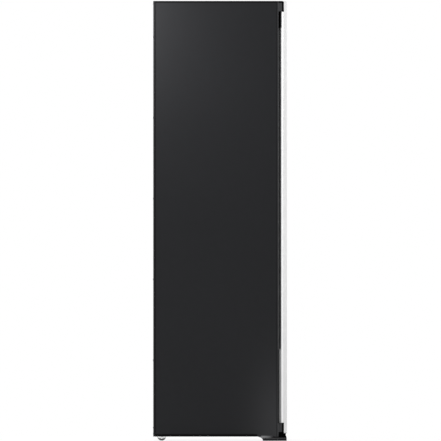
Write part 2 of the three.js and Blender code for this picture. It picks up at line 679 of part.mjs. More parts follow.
// The lower bracket: a hollowed casting under the door's corner with a tail under the pan
const lowTailTop = panFloor - gap;
const joggle = cabinetFront - gap;
const lowerTail = polygon([
  [joggle - gap, lowArmTop], [joggle - gap, lowArmLow], [joggle + hingeArmThickness, lowArmLow],
  [joggle + hingeArmThickness, lowTailTop - hingeArmThickness],
  [joggle + arm.tail, lowTailTop - hingeArmThickness], [joggle + arm.tail, lowTailTop],
  [joggle, lowTailTop], [joggle, lowArmTop],
]);
const lowerTailX = [armX[0], linerFlange];
const lowerArm = block(armX, [armFront, joggle - gap / 2], [lowArmLow, lowArmTop]).subtract(
  block([armX[0] + hingeArmThickness, armX[1] - hingeArmThickness],
    [armFront + lowArm.lip, joggle - hingeArmThickness], [lowArmLow - over, lowArmTop - lowArm.pocket]));
add('hinge_bracket_lower', join([
  across(lowerTail, lowerTailX),
  lowerArm,
  barZ(hinge.pinRadius, hingeX, hingeY, [lowArmLow, doorBottom + pinReach], sides.drum),
]), 'black');

// Bushes: short turned sleeves pressed into the trim's corner blocks
const bushBore = hinge.pinRadius + pinPlay;
function bush(z) {
  return turned([
    [bushBore, z[0]], [bushRadius, z[0]], [bushRadius, z[1]], [bushBore, z[1]], [bushBore, z[0]],
  ], hingeX, hingeY, sides.disc);
}
add('hinge_bush_lower', bush([faceBottom, faceBottom + bushSeat - gap]), 'pale');
add('hinge_bush_upper', bush([upperArmLow - runningGap - bushSeat + gap, upperArmLow - runningGap]), 'pale');

// Trouser press: a back plate screwed to the door and a panel that swings on two moulded trunnions
const pressInset = { side: 56, low: 205, high: 430 };
const pressEdge = chamber.halfWidth - pressInset.side;
const press = { plate: 9.5, panel: 20, pin: 4, pinReach: 7, lug: 9 };
const pressLow = bayTop + pressInset.low;
const pressHigh = chamberTop - pressInset.high;
const plateY = [shellBack + gap, shellBack + gap + press.plate];
const panelY = [plateY[1] + runningGap, plateY[1] + runningGap + press.panel];
const pressAxis = { x: pressEdge - press.panel / 2, y: (panelY[0] + panelY[1]) / 2 };
const lugX = [pressAxis.x - press.panel / 2, pressEdge + press.lug];
const lugReach = pressAxis.y + press.pin * 2;
const pinHole = (z) => barZ(press.pin + gap, pressAxis.x, pressAxis.y, z);
const latch = { reach: 12, stem: 4, seat: 6, width: 13, length: 38, plate: 4 };
const latchX = -pressEdge - latch.reach;
const latchZ = (pressLow + pressHigh) / 2;
const earX = [latchX - latch.width, -pressEdge];
const earZ = [latchZ - latch.width, latchZ + latch.width];
const lowLug = [pressLow - press.lug, pressLow - runningGap];
const highLug = [pressHigh + runningGap, pressHigh + press.lug];
const plateZ = [lowLug[0], highLug[1]];
const rib = { count: 5, depth: 3, margin: 30 };
let pressPlate = join([
  block([-pressEdge, lugX[1]], plateY, plateZ),
  block(lugX, [plateY[0], lugReach], lowLug),
  block(lugX, [plateY[0], lugReach], highLug),
  block(earX, plateY, earZ),
]);
const ribPitch = (pressHigh - pressLow) / rib.count;
for (let i = 0; i < rib.count; i += 1) {
  const low = pressLow + i * ribPitch + rib.margin / 2;
  pressPlate = pressPlate.subtract(block([-pressEdge + rib.margin, pressEdge - rib.margin],
    [plateY[1] - rib.depth, plateY[1] + over], [low, low + ribPitch - rib.margin]));
}
add('press_back_plate', cut(pressPlate, [
  pinHole([lowLug[0] - over, lowLug[1] + over]),
  pinHole([highLug[0] - over, highLug[1] + over]),
  barY(latch.stem + gap, latchX, [plateY[1] - latch.seat, plateY[1] + over], latchZ),
]), 'grey');

const panelShape = new THREE.Shape();
panelShape.moveTo(-pressEdge, panelY[0]);
panelShape.lineTo(pressAxis.x, panelY[0]);
panelShape.absarc(pressAxis.x, pressAxis.y, press.panel / 2, -Math.PI / 2, Math.PI / 2);
panelShape.lineTo(-pressEdge + press.panel / 2, panelY[1]);
panelShape.quadraticCurveTo(-pressEdge, panelY[1], -pressEdge, pressAxis.y);
const grip = { width: 14, height: 110, depth: 8, gap: 55 };
const gripLow = latchZ + grip.gap;
add('press_panel', join([
  upright(panelShape, [pressLow, pressHigh], bends.soft),
  barZ(press.pin, pressAxis.x, pressAxis.y,
    [pressLow - press.pinReach, pressHigh + press.pinReach], sides.drum),
]).subtract(block([-pressEdge - over, -pressEdge + grip.width], [panelY[0] - over, panelY[0] + grip.depth],
  [gripLow, gripLow + grip.height])), 'pale');

// Press latch: a turn button, shown released; turned a quarter, its tab lies over the panel's edge
const tabY = [panelY[1] + runningGap, panelY[1] + runningGap + latch.plate];
const tab = new THREE.Shape();
tab.moveTo(latchX + latch.width / 2, latchZ);
tab.lineTo(latchX + latch.width / 2, latchZ + latch.length - latch.width / 2);
tab.absarc(latchX, latchZ + latch.length - latch.width / 2, latch.width / 2, 0, Math.PI);
tab.lineTo(latchX - latch.width / 2, latchZ);
tab.absarc(latchX, latchZ, latch.width / 2, Math.PI, Math.PI * 2);
add('press_latch', through(tab, tabY, bends.soft).add(
  barY(latch.stem, latchX, [plateY[1] - latch.seat + gap, tabY[1] - gap], latchZ, sides.pin)), 'silver');

// Trouser hanger: a spring clamp bar hooked on the door above the press
const clamp = { inset: 36, rise: 40, height: 34, depth: 20, slot: 3, slotHeight: 20, hook: 22 };
const clampEnd = pressEdge - clamp.inset;
const clampLow = pressHigh + clamp.rise;
const clampY = [shellBack + gap, shellBack + gap + clamp.depth];
const clampMid = (clampY[0] + clampY[1]) / 2;
const clampShape = new THREE.Shape();
clampShape.moveTo(clampY[0], clampLow);
clampShape.lineTo(clampMid - clamp.slot / 2, clampLow);
clampShape.lineTo(clampMid - clamp.slot / 2, clampLow + clamp.slotHeight);
clampShape.lineTo(clampMid + clamp.slot / 2, clampLow + clamp.slotHeight);
clampShape.lineTo(clampMid + clamp.slot / 2, clampLow);
clampShape.lineTo(clampY[1], clampLow);
clampShape.lineTo(clampY[1], clampLow + clamp.height / 2);
clampShape.quadraticCurveTo(clampY[1], clampLow + clamp.height, clampMid, clampLow + clamp.height);
clampShape.lineTo(clampY[0], clampLow + clamp.height);
const clampBars = join([
  across(clampShape, [-clampEnd, clampEnd], bends.soft),
  block([-clamp.hook, clamp.hook], [clampY[0], clampY[0] + clamp.slot],
    [clampLow + clamp.height / 2, clampLow + clamp.height + clamp.hook]),
]);
add('trouser_hanger', clampBars, 'grey');

// Moving hanger: a bar in the chamber hangs by two posts from a yoke that runs on two guide rods.
// A motor turns a large toothed pulley by a belt; its crank pin stands over the yoke's cross slot.
const bar = { radius: 8, drop: 140, end: 30 };
const barHeight = chamberTop - bar.drop;
const drive = { plateX: 190, plateY: 98, plate: 3, rodY: 60, rodRadius: 5, rodRise: 20 };
const rodEnd = { block: 16, half: 134 };
const baseZ = [chamberTop + gap, chamberTop + gap + drive.plate];
const rodZ = baseZ[1] + drive.rodRise;
const yoke = { thickness: 8, halfLength: 170, halfWidth: 16, armX: 50, armHalf: 9, bush: 9 };
const yokeZ = [rodZ - yoke.thickness / 2, rodZ + yoke.thickness / 2];
const endX = [rodEnd.half - rodEnd.block, rodEnd.half];
add('hanger_bar', join([
  barX(bar.radius, [-slide.postX - bar.end, slide.postX + bar.end], hangLineY, barHeight, sides.drum),
  barZ(slide.postRadius, -slide.postX, hangLineY, [barHeight, yokeZ[0] - gap], sides.rod),
  barZ(slide.postRadius, slide.postX, hangLineY, [barHeight, yokeZ[0] - gap], sides.rod),
]), 'steel');

const crank = { radius: slide.travel, pin: 4, slotSlack: 1.4 };
const padX = crank.pin + crank.slotSlack + yoke.thickness;
const padY = crank.radius + crank.pin + crank.slotSlack + yoke.thickness;
const yokeParts = [
  block([-yoke.halfLength, yoke.halfLength], [hangLineY - yoke.halfWidth, hangLineY + yoke.halfWidth], yokeZ),
  block([-padX, padX], [hangLineY - padY, hangLineY + padY], yokeZ),
];
const rodTools = [];
for (const sideX of [-1, 1]) {
  const armEnds = [sideX * yoke.armX - yoke.armHalf, sideX * yoke.armX + yoke.armHalf];
  yokeParts.push(block(armEnds, [hangLineY - drive.rodY, hangLineY + drive.rodY], yokeZ));
  for (const sideY of [-1, 1]) {
    const rodY = hangLineY + sideY * drive.rodY;
    yokeParts.push(barX(yoke.bush, armEnds, rodY, rodZ, sides.pin));
  }
}
for (const sideY of [-1, 1]) {
  rodTools.push(barX(drive.rodRadius + gap, [-rodEnd.half - over, rodEnd.half + over],
    hangLineY + sideY * drive.rodY, rodZ, sides.pin));
}
const slotX = crank.pin + crank.slotSlack;
const slotY = crank.radius + crank.pin + crank.slotSlack;
const yokeCut = [yokeZ[0] - over, yokeZ[1] + over];
rodTools.push(block([-slotX, slotX], [hangLineY - slotY, hangLineY + slotY], yokeCut));
add('hanger_yoke', cut(join(yokeParts), rodTools), 'zinc');

const pulley = { thickness: 10, rise: 9, teeth: 36, smallTeeth: 12, module: 2.2, tooth: 1.7, hub: 5, cap: 9 };
const bridgePlate = 3;
const pulleyZ = [yokeZ[1] + pulley.rise, yokeZ[1] + pulley.rise + pulley.thickness];
const bridgeZ = [pulleyZ[1] + pulley.rise / 2, pulleyZ[1] + pulley.rise / 2 + bridgePlate];
const bigRadius = (pulley.teeth * pulley.module) / 2;
const smallRadius = (pulley.smallTeeth * pulley.module) / 2;
const motor = { x: 100, radius: 31, height: 46, shaft: 3.5 };
const bridgeEnd = 20;
const bridgeX = [-bigRadius - bridgeEnd, motor.x + motor.radius + bridgeEnd];
const legSize = 8;
const baseParts = [
  barX(drive.rodRadius, [-rodEnd.half + gap, rodEnd.half - gap], hangLineY - drive.rodY, rodZ, sides.pin),
  barX(drive.rodRadius, [-rodEnd.half + gap, rodEnd.half - gap], hangLineY + drive.rodY, rodZ, sides.pin),
  block([-drive.plateX, drive.plateX], [hangLineY - drive.plateY, hangLineY + drive.plateY], baseZ),
  block(bridgeX, [hangLineY - drive.plateY, hangLineY + drive.plateY], bridgeZ),
];
for (const sideY of [-1, 1]) {
  const outer = hangLineY + sideY * drive.plateY;
  const legY = [outer, outer - sideY * legSize].sort((a, b) => a - b);
  baseParts.push(block([bridgeX[0], bridgeX[0] + legSize], legY, [baseZ[0], bridgeZ[1]]));
  baseParts.push(block([bridgeX[1] - legSize, bridgeX[1]], legY, [baseZ[0], bridgeZ[1]]));
  const blockY = hangLineY + sideY * drive.rodY;
  for (const x of [[-endX[1], -endX[0]], endX]) {
    baseParts.push(block(x, [blockY - rodEnd.block / 2, blockY + rodEnd.block / 2],
      [baseZ[0], rodZ + yoke.bush]));
  }
}
const bridgeCut = [bridgeZ[0] - over, bridgeZ[1] + over];
const crankHole = barZ(pulley.hub + gap, 0, hangLineY, bridgeCut, sides.drum);
const shaftHole = barZ(motor.shaft + gap, motor.x, hangLineY, bridgeCut, sides.drum);
add('drive_base', cut(join(baseParts), [
  ...postSlots(gap, [baseZ[0] - over, baseZ[1] + over]),
  crankHole, shaftHole,
]), 'zinc');

// A toothed wheel: square teeth round a disc, with the shares of a tooth's turn where its edges lie
const tipShare = 0.3;
const rootShare = 0.4;
const riseShare = 0.9;
function toothed(radius, teeth, x, z) {
  const outline = [];
  for (let i = 0; i < teeth; i += 1) {
    const root = radius - pulley.tooth;
    for (const [share, r] of [[0, radius], [tipShare, radius], [rootShare, root], [riseShare, root]]) {
      const angle = ((i + share) / teeth) * Math.PI * 2;
      outline.push([x + r * Math.cos(angle), hangLineY + r * Math.sin(angle)]);
    }
  }
  return upright(polygon(outline), z);
}
const capZ = [bridgeZ[1] + gap, bridgeZ[1] + gap + bridgePlate];
add('drive_pulley', join([
  toothed(bigRadius, pulley.teeth, 0, pulleyZ),
  barZ(pulley.hub, 0, hangLineY, [pulleyZ[0], capZ[1]], sides.drum),
  barZ(pulley.cap, 0, hangLineY, capZ, sides.drum),
  barZ(crank.pin, crank.radius, hangLineY, [yokeZ[1] + runningGap, pulleyZ[1]], sides.pin),
]), 'grey');
add('motor_pulley', join([
  toothed(smallRadius, pulley.smallTeeth, motor.x, pulleyZ),
  barZ(motor.shaft, motor.x, hangLineY, [pulleyZ[0], bridgeZ[1]], sides.pin),
]), 'steel');

// Drive belt: a closed loop round both pulleys, clear of the tooth tips
const belt = { thickness: 2, inset: 1, clearance: 0.5 };
function beltLine(grow) {
  const lean = Math.acos((bigRadius - smallRadius) / motor.x);
  const shape = new THREE.Shape();
  shape.absarc(0, hangLineY, bigRadius + grow, lean, Math.PI * 2 - lean);
  shape.absarc(motor.x, hangLineY, smallRadius + grow, -lean, lean);
  return shape;
}
const beltZ = [pulleyZ[0] + belt.inset, pulleyZ[1] - belt.inset];
add('drive_belt', upright(beltLine(belt.clearance + belt.thickness), beltZ, bends.belt).subtract(
  upright(beltLine(belt.clearance), [beltZ[0] - over, beltZ[1] + over], bends.belt)), 'rubber');

const motorZ = [bridgeZ[1] + gap, bridgeZ[1] + gap + motor.height];
const motorShoulder = 4;
add('drive_motor', turned([
  [0, motorZ[0]], [motor.radius, motorZ[0]], [motor.radius, motorZ[0] + motorShoulder],
  [motor.radius - motorShoulder, motorZ[0] + motorShoulder],
  [motor.radius - motorShoulder, motorZ[1] - motorShoulder],
  [motor.radius - motorShoulder * 2, motorZ[1]], [0, motorZ[1]],
], motor.x, hangLineY, sides.disc), 'steel');

// Garment hangers: broad shoulders on a wire hook that rides over the bar
const coat = { neck: 40, drop: 66, thickness: 15, end: 17, wire: 2, rim: 19, bendShare: 0.6, sag: 13 };
const coatClear = 40;
const coatWindow = { tip: 45, bendShare: 0.5, sag: 30, low: 2 };
const halfSpan = chamber.back - hangLineY - coatClear;
const coatBend = halfSpan * coat.bendShare;
const windowBend = halfSpan * coatWindow.bendShare;
const hook = { sides: 6, steps: 16, turns: 6, startShare: -0.2, sweepShare: 1.2, reach: 15, drop: 20 };
const hookClear = 0.45;
const hookRadius = bar.radius + coat.wire + hookClear;
function garmentHanger(x) {
  const top = barHeight - coat.neck;
  const low = top - coat.drop;
  const shape = new THREE.Shape();
  shape.moveTo(hangLineY - coat.thickness, top + coat.wire);
  shape.lineTo(hangLineY + coat.thickness, top + coat.wire);
  shape.quadraticCurveTo(hangLineY + coatBend, top - coat.sag, hangLineY + halfSpan, low);
  shape.lineTo(hangLineY + halfSpan - coat.wire, low - coat.end);
  shape.lineTo(hangLineY - halfSpan + coat.wire, low - coat.end);
  shape.lineTo(hangLineY - halfSpan, low);
  shape.quadraticCurveTo(hangLineY - coatBend, top - coat.sag, hangLineY - coat.thickness, top + coat.wire);
  const window = new THREE.Shape();
  const windowHalf = halfSpan - coatWindow.tip;
  window.moveTo(hangLineY - windowHalf, low - coatWindow.low);
  window.quadraticCurveTo(hangLineY - windowBend, top - coatWindow.sag, hangLineY, top - coat.rim);
  window.quadraticCurveTo(hangLineY + windowBend, top - coatWindow.sag,
    hangLineY + windowHalf, low - coatWindow.low);
  const points = [];
  for (let i = 0; i <= hook.turns; i += 1) {
    const angle = Math.PI * (hook.startShare + (i / hook.turns) * hook.sweepShare);
    points.push([x, hangLineY + hookRadius * Math.cos(angle), barHeight + hookRadius * Math.sin(angle)]);
  }
  points.push([x, hangLineY - hookRadius / 2, barHeight - hook.reach]);
  points.push([x, hangLineY, barHeight - hook.drop]);
  points.push([x, hangLineY, top]);
  return join([
    across(shape, [x - coat.thickness / 2, x + coat.thickness / 2], bends.shoulder).subtract(
      across(window, [x - coat.thickness, x + coat.thickness], bends.shoulder)),
    pipe(coat.wire, points, hook.steps, hook.sides),
  ]);
}
const hangerPlace = 75;
const hangerX = [-hangerPlace, hangerPlace];
hangerX.forEach((x, i) => add(`garment_hanger_${i + 1}`, garmentHanger(x), 'grey'));

// Tank bay: a moulded box with two open cells for the water tanks
const panTop = panFloor + sheet + gap;
const bayEdge = right - bay.inset;
const bayFront = lidFront + sheet + gap;
const bayRoof = deckZ[0] - gap;
const cellOuter = bayEdge - bay.wall;
const cellBack = bay.back - bay.wall;
const cells = [-1, 1].map((side) => block(
  [side * bay.wall / 2, side * cellOuter].sort((a, b) => a - b),
  [lowTrayBack, cellBack], [bay.cellLow, cellHigh]));
const bayUnder = block([-cellOuter, cellOuter], [bayFront + bay.wall, bay.back + over],
  [panTop - over, bay.cellLow - bay.wall]);
// Its bezel stands proud of the cabinet's front, right behind the door's lower tray
const bezelY = [lowTrayBack + gap, cabinetFront + sheet - gap];
const bezelZ = [lowFasciaTop + gap, bayTop - gap];
const bezel = block([-linerFlange, linerFlange], bezelY, bezelZ).add(
  block([-bayEdge, bayEdge], [bezelY[0], bayFront + bay.wall], [bezelZ[0], bayRoof]));
const bayBox = block([-bayEdge, bayEdge], [bayFront, bay.back], [panTop, bayRoof]);
add('tank_bay_frame', cut(bayBox.add(bezel), [...cells, bayUnder]), 'black');

// Water tanks: hollow bottles with a finger recess in front and an open filler neck on top
const tankGrip = { width: 120, height: 46, depth: 24, drop: 50, lip: 5, undercut: 15 };
const tankGripZ = bay.cellLow + tank.height - tankGrip.drop;
function waterTank(side) {
  const x = [side * (bay.wall / 2 + tank.slack), side * (cellOuter - tank.slack)].sort((a, b) => a - b);
  const y = [bayFront + tank.frontSetback, cellBack - tank.slack];
  const z = [bay.cellLow + gap, bay.cellLow + gap + tank.height];
  const middle = (x[0] + x[1]) / 2;
  const outside = upright(softRectangle(x, y, tank.round), z, bends.corner);
  const waterY = [y[0] + tankGrip.depth + tank.wall, y[1] - tank.wall];
  const waterZ = [z[0] + tank.wall, z[1] - tank.wall];
  const waterX = [x[0] + tank.wall, x[1] - tank.wall];
  const inside = upright(softRectangle(waterX, waterY, tank.round), waterZ, bends.corner);
  const neckY = (y[0] + tankGrip.depth + y[1]) / 2;
  const grip = [middle - tankGrip.width / 2, middle + tankGrip.width / 2];
  const gripZ = [tankGripZ - tankGrip.height / 2, tankGripZ + tankGrip.height / 2];
  const neckZ = [z[1] - tank.wall, z[1] + tank.neckRise];
  return cut(outside.add(barZ(tank.neck, middle, neckY, neckZ, sides.disc)), [
    inside,
    barZ(tank.neck - tank.wall, middle, neckY, [neckZ[0] - over, neckZ[1] + over], sides.disc),
    block(grip, [y[0] - over, y[0] + tankGrip.depth - tank.wall], gripZ),
    block(grip, [y[0] + tankGrip.lip, y[0] + tankGrip.depth - tank.wall],
      [gripZ[0], gripZ[1] + tankGrip.undercut]),
  ]);
}
add('supply_tank', waterTank(-1), 'clear');
add('drain_tank', waterTank(1), 'clear');

// Air duct: a foamed housing over the heat exchangers that ends in the fan chamber below the outlet
const duct = { widthShare: 0.26, front: -56, wall: 3, inset: 51, high: 187.7, baffleWall: 3 };
const ductBore = { inlet: 50, shaft: 8 };
const ductEdge = right * duct.widthShare;
const ductBack = sideBack - duct.inset;
const ductInner = ductEdge - duct.wall;
const fan = { drop: 99.7, blades: 16, depth: 44, hub: 13, shaft: 4, ring: 8, plate: 3, clear: 13 };
const bladeWall = 2;
const fanPlace = { setback: 56, baffle: 112 };
const fanRadius = ductInner - fan.clear;
const fanLineY = ductBack - fanPlace.setback;
const fanZ = bayRoof - fan.drop;
const baffleY = ductBack - fanPlace.baffle;
const ductLow = bayRoof - duct.high;
const ductInside = [ductLow + duct.wall, bayRoof - duct.wall];
add('air_duct', cut(block([-ductEdge, ductEdge], [duct.front, ductBack], [panTop, bayRoof]), [
  block([-ductInner, ductInner], [duct.front - over, baffleY], ductInside),
  block([-ductInner, ductInner], [baffleY + duct.baffleWall, ductBack - duct.wall], ductInside),
  block([-ductInner, ductInner], [duct.front - over, ductBack + over], [panTop - over, ductLow - duct.wall]),
  barY(ductBore.inlet, 0, [baffleY - over, baffleY + duct.baffleWall + over], fanZ, sides.disc),
  barY(ductBore.shaft, 0, [ductBack - duct.wall - over, ductBack + over], fanZ, sides.drum),
  block([-ductInner, ductInner], [ductHole.y - ductHole.depth / 2, ductHole.y + ductHole.depth / 2],
    [bayRoof - duct.wall - over, bayRoof + over]),
]), 'foam');

// Circulation fan: forward-curved blades between a back plate and a front ring, on its own shaft
const fanY = [fanLineY - fan.depth / 2, fanLineY + fan.depth / 2];
const fanParts = [
  barY(fanRadius, 0, [fanY[1] - fan.plate, fanY[1]], fanZ, sides.disc),
  barY(fanRadius, 0, [fanY[0], fanY[0] + fan.plate], fanZ, sides.disc).subtract(
    barY(fanRadius - fan.ring, 0, [fanY[0] - over, fanY[0] + fan.plate + over], fanZ, sides.disc)),
  barY(fan.hub, 0, [fanY[0] + fan.plate, fanY[1]], fanZ, sides.drum),
  barY(fan.shaft, 0, [fanY[1] - fan.plate, ductBack], fanZ, sides.pin),
];
const bladeTurn = 0.16;
const bladeBend = 0.056;
for (let i = 0; i < fan.blades; i += 1) {
  const start = (i / fan.blades) * Math.PI * 2;
  const at = (radius, angle) => [radius * Math.cos(angle), fanZ + radius * Math.sin(angle)];
  const root = fanRadius - fan.ring;
  const tip = fanRadius - bladeWall / 2;
  const lean = bladeWall / fanRadius;
  fanParts.push(through(polygon([
    at(root, start), at((root + tip) / 2, start + bladeBend), at(tip, start + bladeTurn),
    at(tip, start + bladeTurn + lean), at((root + tip) / 2, start + bladeBend + lean), at(root, start + lean),
  ]), [fanY[0] + fan.plate / 2, fanY[1] - fan.plate / 2]));
}
add('circulation_fan', join(fanParts), 'grey');

const fanMotor = { radius: 36, length: 42, shoulder: 6 };
const motorFace = ductBack + gap;
const fanMotorEnd = motorFace + fanMotor.length;
const fanMotorBody = barY(fanMotor.radius, 0, [motorFace, fanMotorEnd - fanMotor.shoulder], fanZ,
  sides.wheel);
add('fan_motor', fanMotorBody.add(
  barY(fanMotor.radius - fanMotor.shoulder, 0, [motorFace, fanMotorEnd], fanZ, sides.wheel)), 'steel');

// Heat exchangers: upright fins on round tubes, standing on the duct's floor
const coil = { fins: 11, fin: 1.2, tube: 4.5, tubeRows: 2, slack: 2, height: 166 };
function exchanger(y) {
  const halfWidth = ductInner - coil.slack;
  const z = [ductInside[0] + gap, ductInside[0] + gap + coil.height];
  const pitch = (halfWidth * 2 - coil.fin) / (coil.fins - 1);
  const parts = [];
  for (let i = 0; i < coil.fins; i += 1) {
    const x = -halfWidth + i * pitch;
    parts.push(block([x, x + coil.fin], y, z));
  }
  for (let i = 0; i < coil.tubeRows; i += 1) {
    const tubeZ = z[0] + (coil.height * (i + 1)) / (coil.tubeRows + 1);
    const tubeX = [-halfWidth + coil.fin / 2, halfWidth - coil.fin / 2];
    parts.push(barX(coil.tube, tubeX, (y[0] + y[1]) / 2, tubeZ, sides.hex));
  }
  return join(parts);
}
const evaporatorDepth = 42;
const coilFrontGap = 10;
const coilGap = 22;
const coilBackGap = 44;
const evaporatorY = [duct.front + coilFrontGap, duct.front + coilFrontGap + evaporatorDepth];
const condenserY = [evaporatorY[1] + coilGap, baffleY - coilBackGap];
add('evaporator', exchanger(evaporatorY), 'steel');
add('condenser', exchanger(condenserY), 'copper');

// Compressor: a domed steel shell on a foot plate, with its copper discharge pipe
const pump = { inset: 124, y: 100, radius: 60, foot: 14, plate: 4, height: 172, crown: 22, edge: 5.5 };
const pumpFoot = { radius: 9, at: 45, corner: 18 };
const discharge = { radius: 5, rise: 33, steps: 14 };
const compressorX = left + pump.inset;
const plateLow = panTop + pump.foot;
const compressorTop = plateLow + pump.plate + pump.height;
const compressorParts = [
  upright(softRectangle([compressorX - pump.radius, compressorX + pump.radius],
    [pump.y - pump.radius, pump.y + pump.radius], pumpFoot.corner),
  [plateLow, plateLow + pump.plate], bends.corner),
  turned([
    [0, plateLow], [pump.radius - pump.plate, plateLow], [pump.radius, plateLow + pump.crown],
    [pump.radius, compressorTop - pump.crown * 2], [pump.radius - pump.edge, compressorTop - pump.crown],
    [pump.radius - pump.crown, compressorTop - pump.edge], [0, compressorTop],
  ], compressorX, pump.y, sides.drum),
];
for (const [sx, sy] of [[-1, -1], [1, -1], [1, 1], [-1, 1]]) {
  compressorParts.push(barZ(pumpFoot.radius, compressorX + sx * pumpFoot.at, pump.y + sy * pumpFoot.at,
    [panTop, plateLow + pump.plate / 2], sides.foot));
}
const pipeEnd = -ductEdge - gap;
const pipeRise = compressorTop + discharge.rise;
compressorParts.push(pipe(discharge.radius, [
  [compressorX, pump.y, compressorTop - pump.crown],
  [compressorX, pump.y, compressorTop + pump.crown / 2],
  [compressorX + pump.crown / 2, pump.y, pipeRise],
  [compressorX + discharge.rise, pump.y, pipeRise + pump.crown / 2],
  [pipeEnd - pump.crown / 2, pump.y, pipeRise + pump.crown / 2],
  [pipeEnd, pump.y, pipeRise + pump.crown / 2],
], discharge.steps, sides.tube));
add('compressor', join(compressorParts), 'black');

// Steam generator: an upright boiler with a flange, whose hose climbs to the nozzle
const boiler = { inset: 124, y: 130, radius: 46, height: 170, flange: 7, flangeRise: 40, dome: 16 };
const hose = { radius: 8, steps: 12, drop: 4 };
const boilerX = right - boiler.inset;
const boilerTop = panTop + boiler.height;
const hoseEnd = nozzleLow - gap;
add('steam_generator', turned([
  [0, panTop], [boiler.radius, panTop], [boiler.radius, panTop + boiler.flangeRise],
  [boiler.radius + boiler.flange, panTop + boiler.flangeRise],
  [boiler.radius + boiler.flange, panTop + boiler.flangeRise + boiler.flange],
  [boiler.radius, panTop + boiler.flangeRise + boiler.flange], [boiler.radius, boilerTop - boiler.dome],
  [boiler.radius - boiler.dome, boilerTop], [0, boilerTop],
], boilerX, boiler.y, sides.drum).add(pipe(hose.radius, [
  [boilerX, boiler.y, boilerTop - boiler.dome],
  [boilerX, boiler.y, boilerTop + boiler.dome * 2],
  [steamPort.x, steamPort.y, hoseEnd - boiler.dome * 2],
  [steamPort.x, steamPort.y, hoseEnd - hose.drop],
  [steamPort.x, steamPort.y, hoseEnd],
], hose.steps, sides.tube)), 'steel');

// Water pumps: a square head with a spout, on a round motor lying along Y
const waterPump = { halfHead: 19, head: 26, motor: 15, motorLength: 40, spout: 6, spoutRise: 16, y: -44 };
function smallPump(x) {
  const axisZ = panTop + waterPump.halfHead;
  const headY = [waterPump.y, waterPump.y + waterPump.head];
  return join([
    block([x - waterPump.halfHead, x + waterPump.halfHead], headY, [panTop, axisZ + waterPump.halfHead]),
    barY(waterPump.motor, x, [headY[0] + over, headY[1] + waterPump.motorLength], axisZ, sides.drum),
    barZ(waterPump.spout, x, (headY[0] + headY[1]) / 2,
      [axisZ, axisZ + waterPump.halfHead + waterPump.spoutRise], sides.rod),
  ]);
}
const pumpX = 130;
add('water_pump', smallPump(-pumpX), 'grey');
add('drain_pump', smallPump(pumpX), 'grey');

// Control board: a circuit card with its parts, on four stand-offs over the chamber's roof
const card = { x: -60, halfWidth: 120, halfDepth: 52, thickness: 1.6, rise: 8, post: 4, postInset: 9 };
const cardShift = 4.5;
const cardY = (hangLineY + drive.plateY + sideBack) / 2 - cardShift;
const cardZ = [baseZ[0] + card.rise, baseZ[0] + card.rise + card.thickness];
const cardParts = [block([card.x - card.halfWidth, card.x + card.halfWidth],
  [cardY - card.halfDepth, cardY + card.halfDepth], cardZ)];
for (const [sx, sy] of [[-1, -1], [1, -1], [1, 1], [-1, 1]]) {
  cardParts.push(barZ(card.post, card.x + sx * (card.halfWidth - card.postInset),
    cardY + sy * (card.halfDepth - card.postInset), [baseZ[0], cardZ[1]], sides.stud));
}
// Each part on the card: its middle from the card's middle, its width and depth, and its rise
const transformer = { x: -82, y: 16, width: 31, depth: 26, rise: 26 };
const relay = { x: -24, y: -23, width: 19, depth: 21, rise: 18 };
const heatSink = { x: 19, y: 26, width: 41, depth: 14, rise: 30 };
const chip = { x: 60, y: -26, width: 29, depth: 12, rise: 12 };
const terminal = { x: 94, y: 16, width: 19, depth: 36, rise: 16 };
for (const item of [transformer, relay, heatSink, chip, terminal]) {
  const x = card.x + item.x;
  const y = cardY + item.y;
  cardParts.push(block([x - item.width / 2, x + item.width / 2], [y - item.depth / 2, y + item.depth / 2],
    [cardZ[0], cardZ[1] + item.rise]));
}
add('control_board', join(cardParts), 'board');

// Plinth: a low cover between the front feet, open below, whose back edge flares up to the pan
const plinth = { inset: 8, setback: 1.6, depth: 106, wall: 3, lift: 0.3, flare: 19 };
const plinthLug = 16;
const footHole = 21;
const foot = { inset: 45, setback: 72, disc: 17, discHeight: 6, stud: 5, hex: 11, hexHeight: 16, lugGap: 41 };
const plinthEdge = right - plinth.inset;
const plinthFront = front + plinth.setback;
const plinthBack = plinthFront + plinth.depth;
const footX = right - foot.inset;
const footY = front + foot.setback;
const lugEdge = footX - foot.lugGap;
const plinthShape = new THREE.Shape();
plinthShape.moveTo(plinthFront, plinth.lift);
plinthShape.lineTo(plinthFront, plinthTop - plinth.wall);
plinthShape.quadraticCurveTo(plinthFront, plinthTop, plinthFront + plinth.wall, plinthTop);
plinthShape.lineTo(plinthBack - plinth.wall, plinthTop);
const flareEnd = plinthBack + plinth.flare;
plinthShape.quadraticCurveTo(plinthBack, plinthTop, flareEnd, plinthTop + plinth.wall + plinth.lift);
plinthShape.lineTo(flareEnd, plinthTop + plinth.lift);
plinthShape.quadraticCurveTo(plinthBack, plinthTop - plinth.wall, plinthBack, plinth.lift);
const plinthX = [-plinthEdge, plinthEdge];
const lugs = [-1, 1].map((side) => block(
  [side * lugEdge, side * (lugEdge - plinthLug)].sort((a, b) => a - b),
  [footY, footY + plinthLug], [plinthTop - plinth.wall / 2, panFloor - gap]));
add('plinth_cover', cut(across(plinthShape, plinthX, bends.plinth), [
  block([plinthX[0] + plinth.wall, plinthX[1] - plinth.wall],
    [plinthFront + plinth.wall, plinthBack - plinth.wall], [-over, plinthTop - plinth.wall]),
  barZ(footHole, -footX, footY, [-over, plinthTop + over], sides.disc),
  barZ(footHole, footX, footY, [-over, plinthTop + over], sides.disc),
]).add(lugs[0]).add(lugs[1]), 'black');

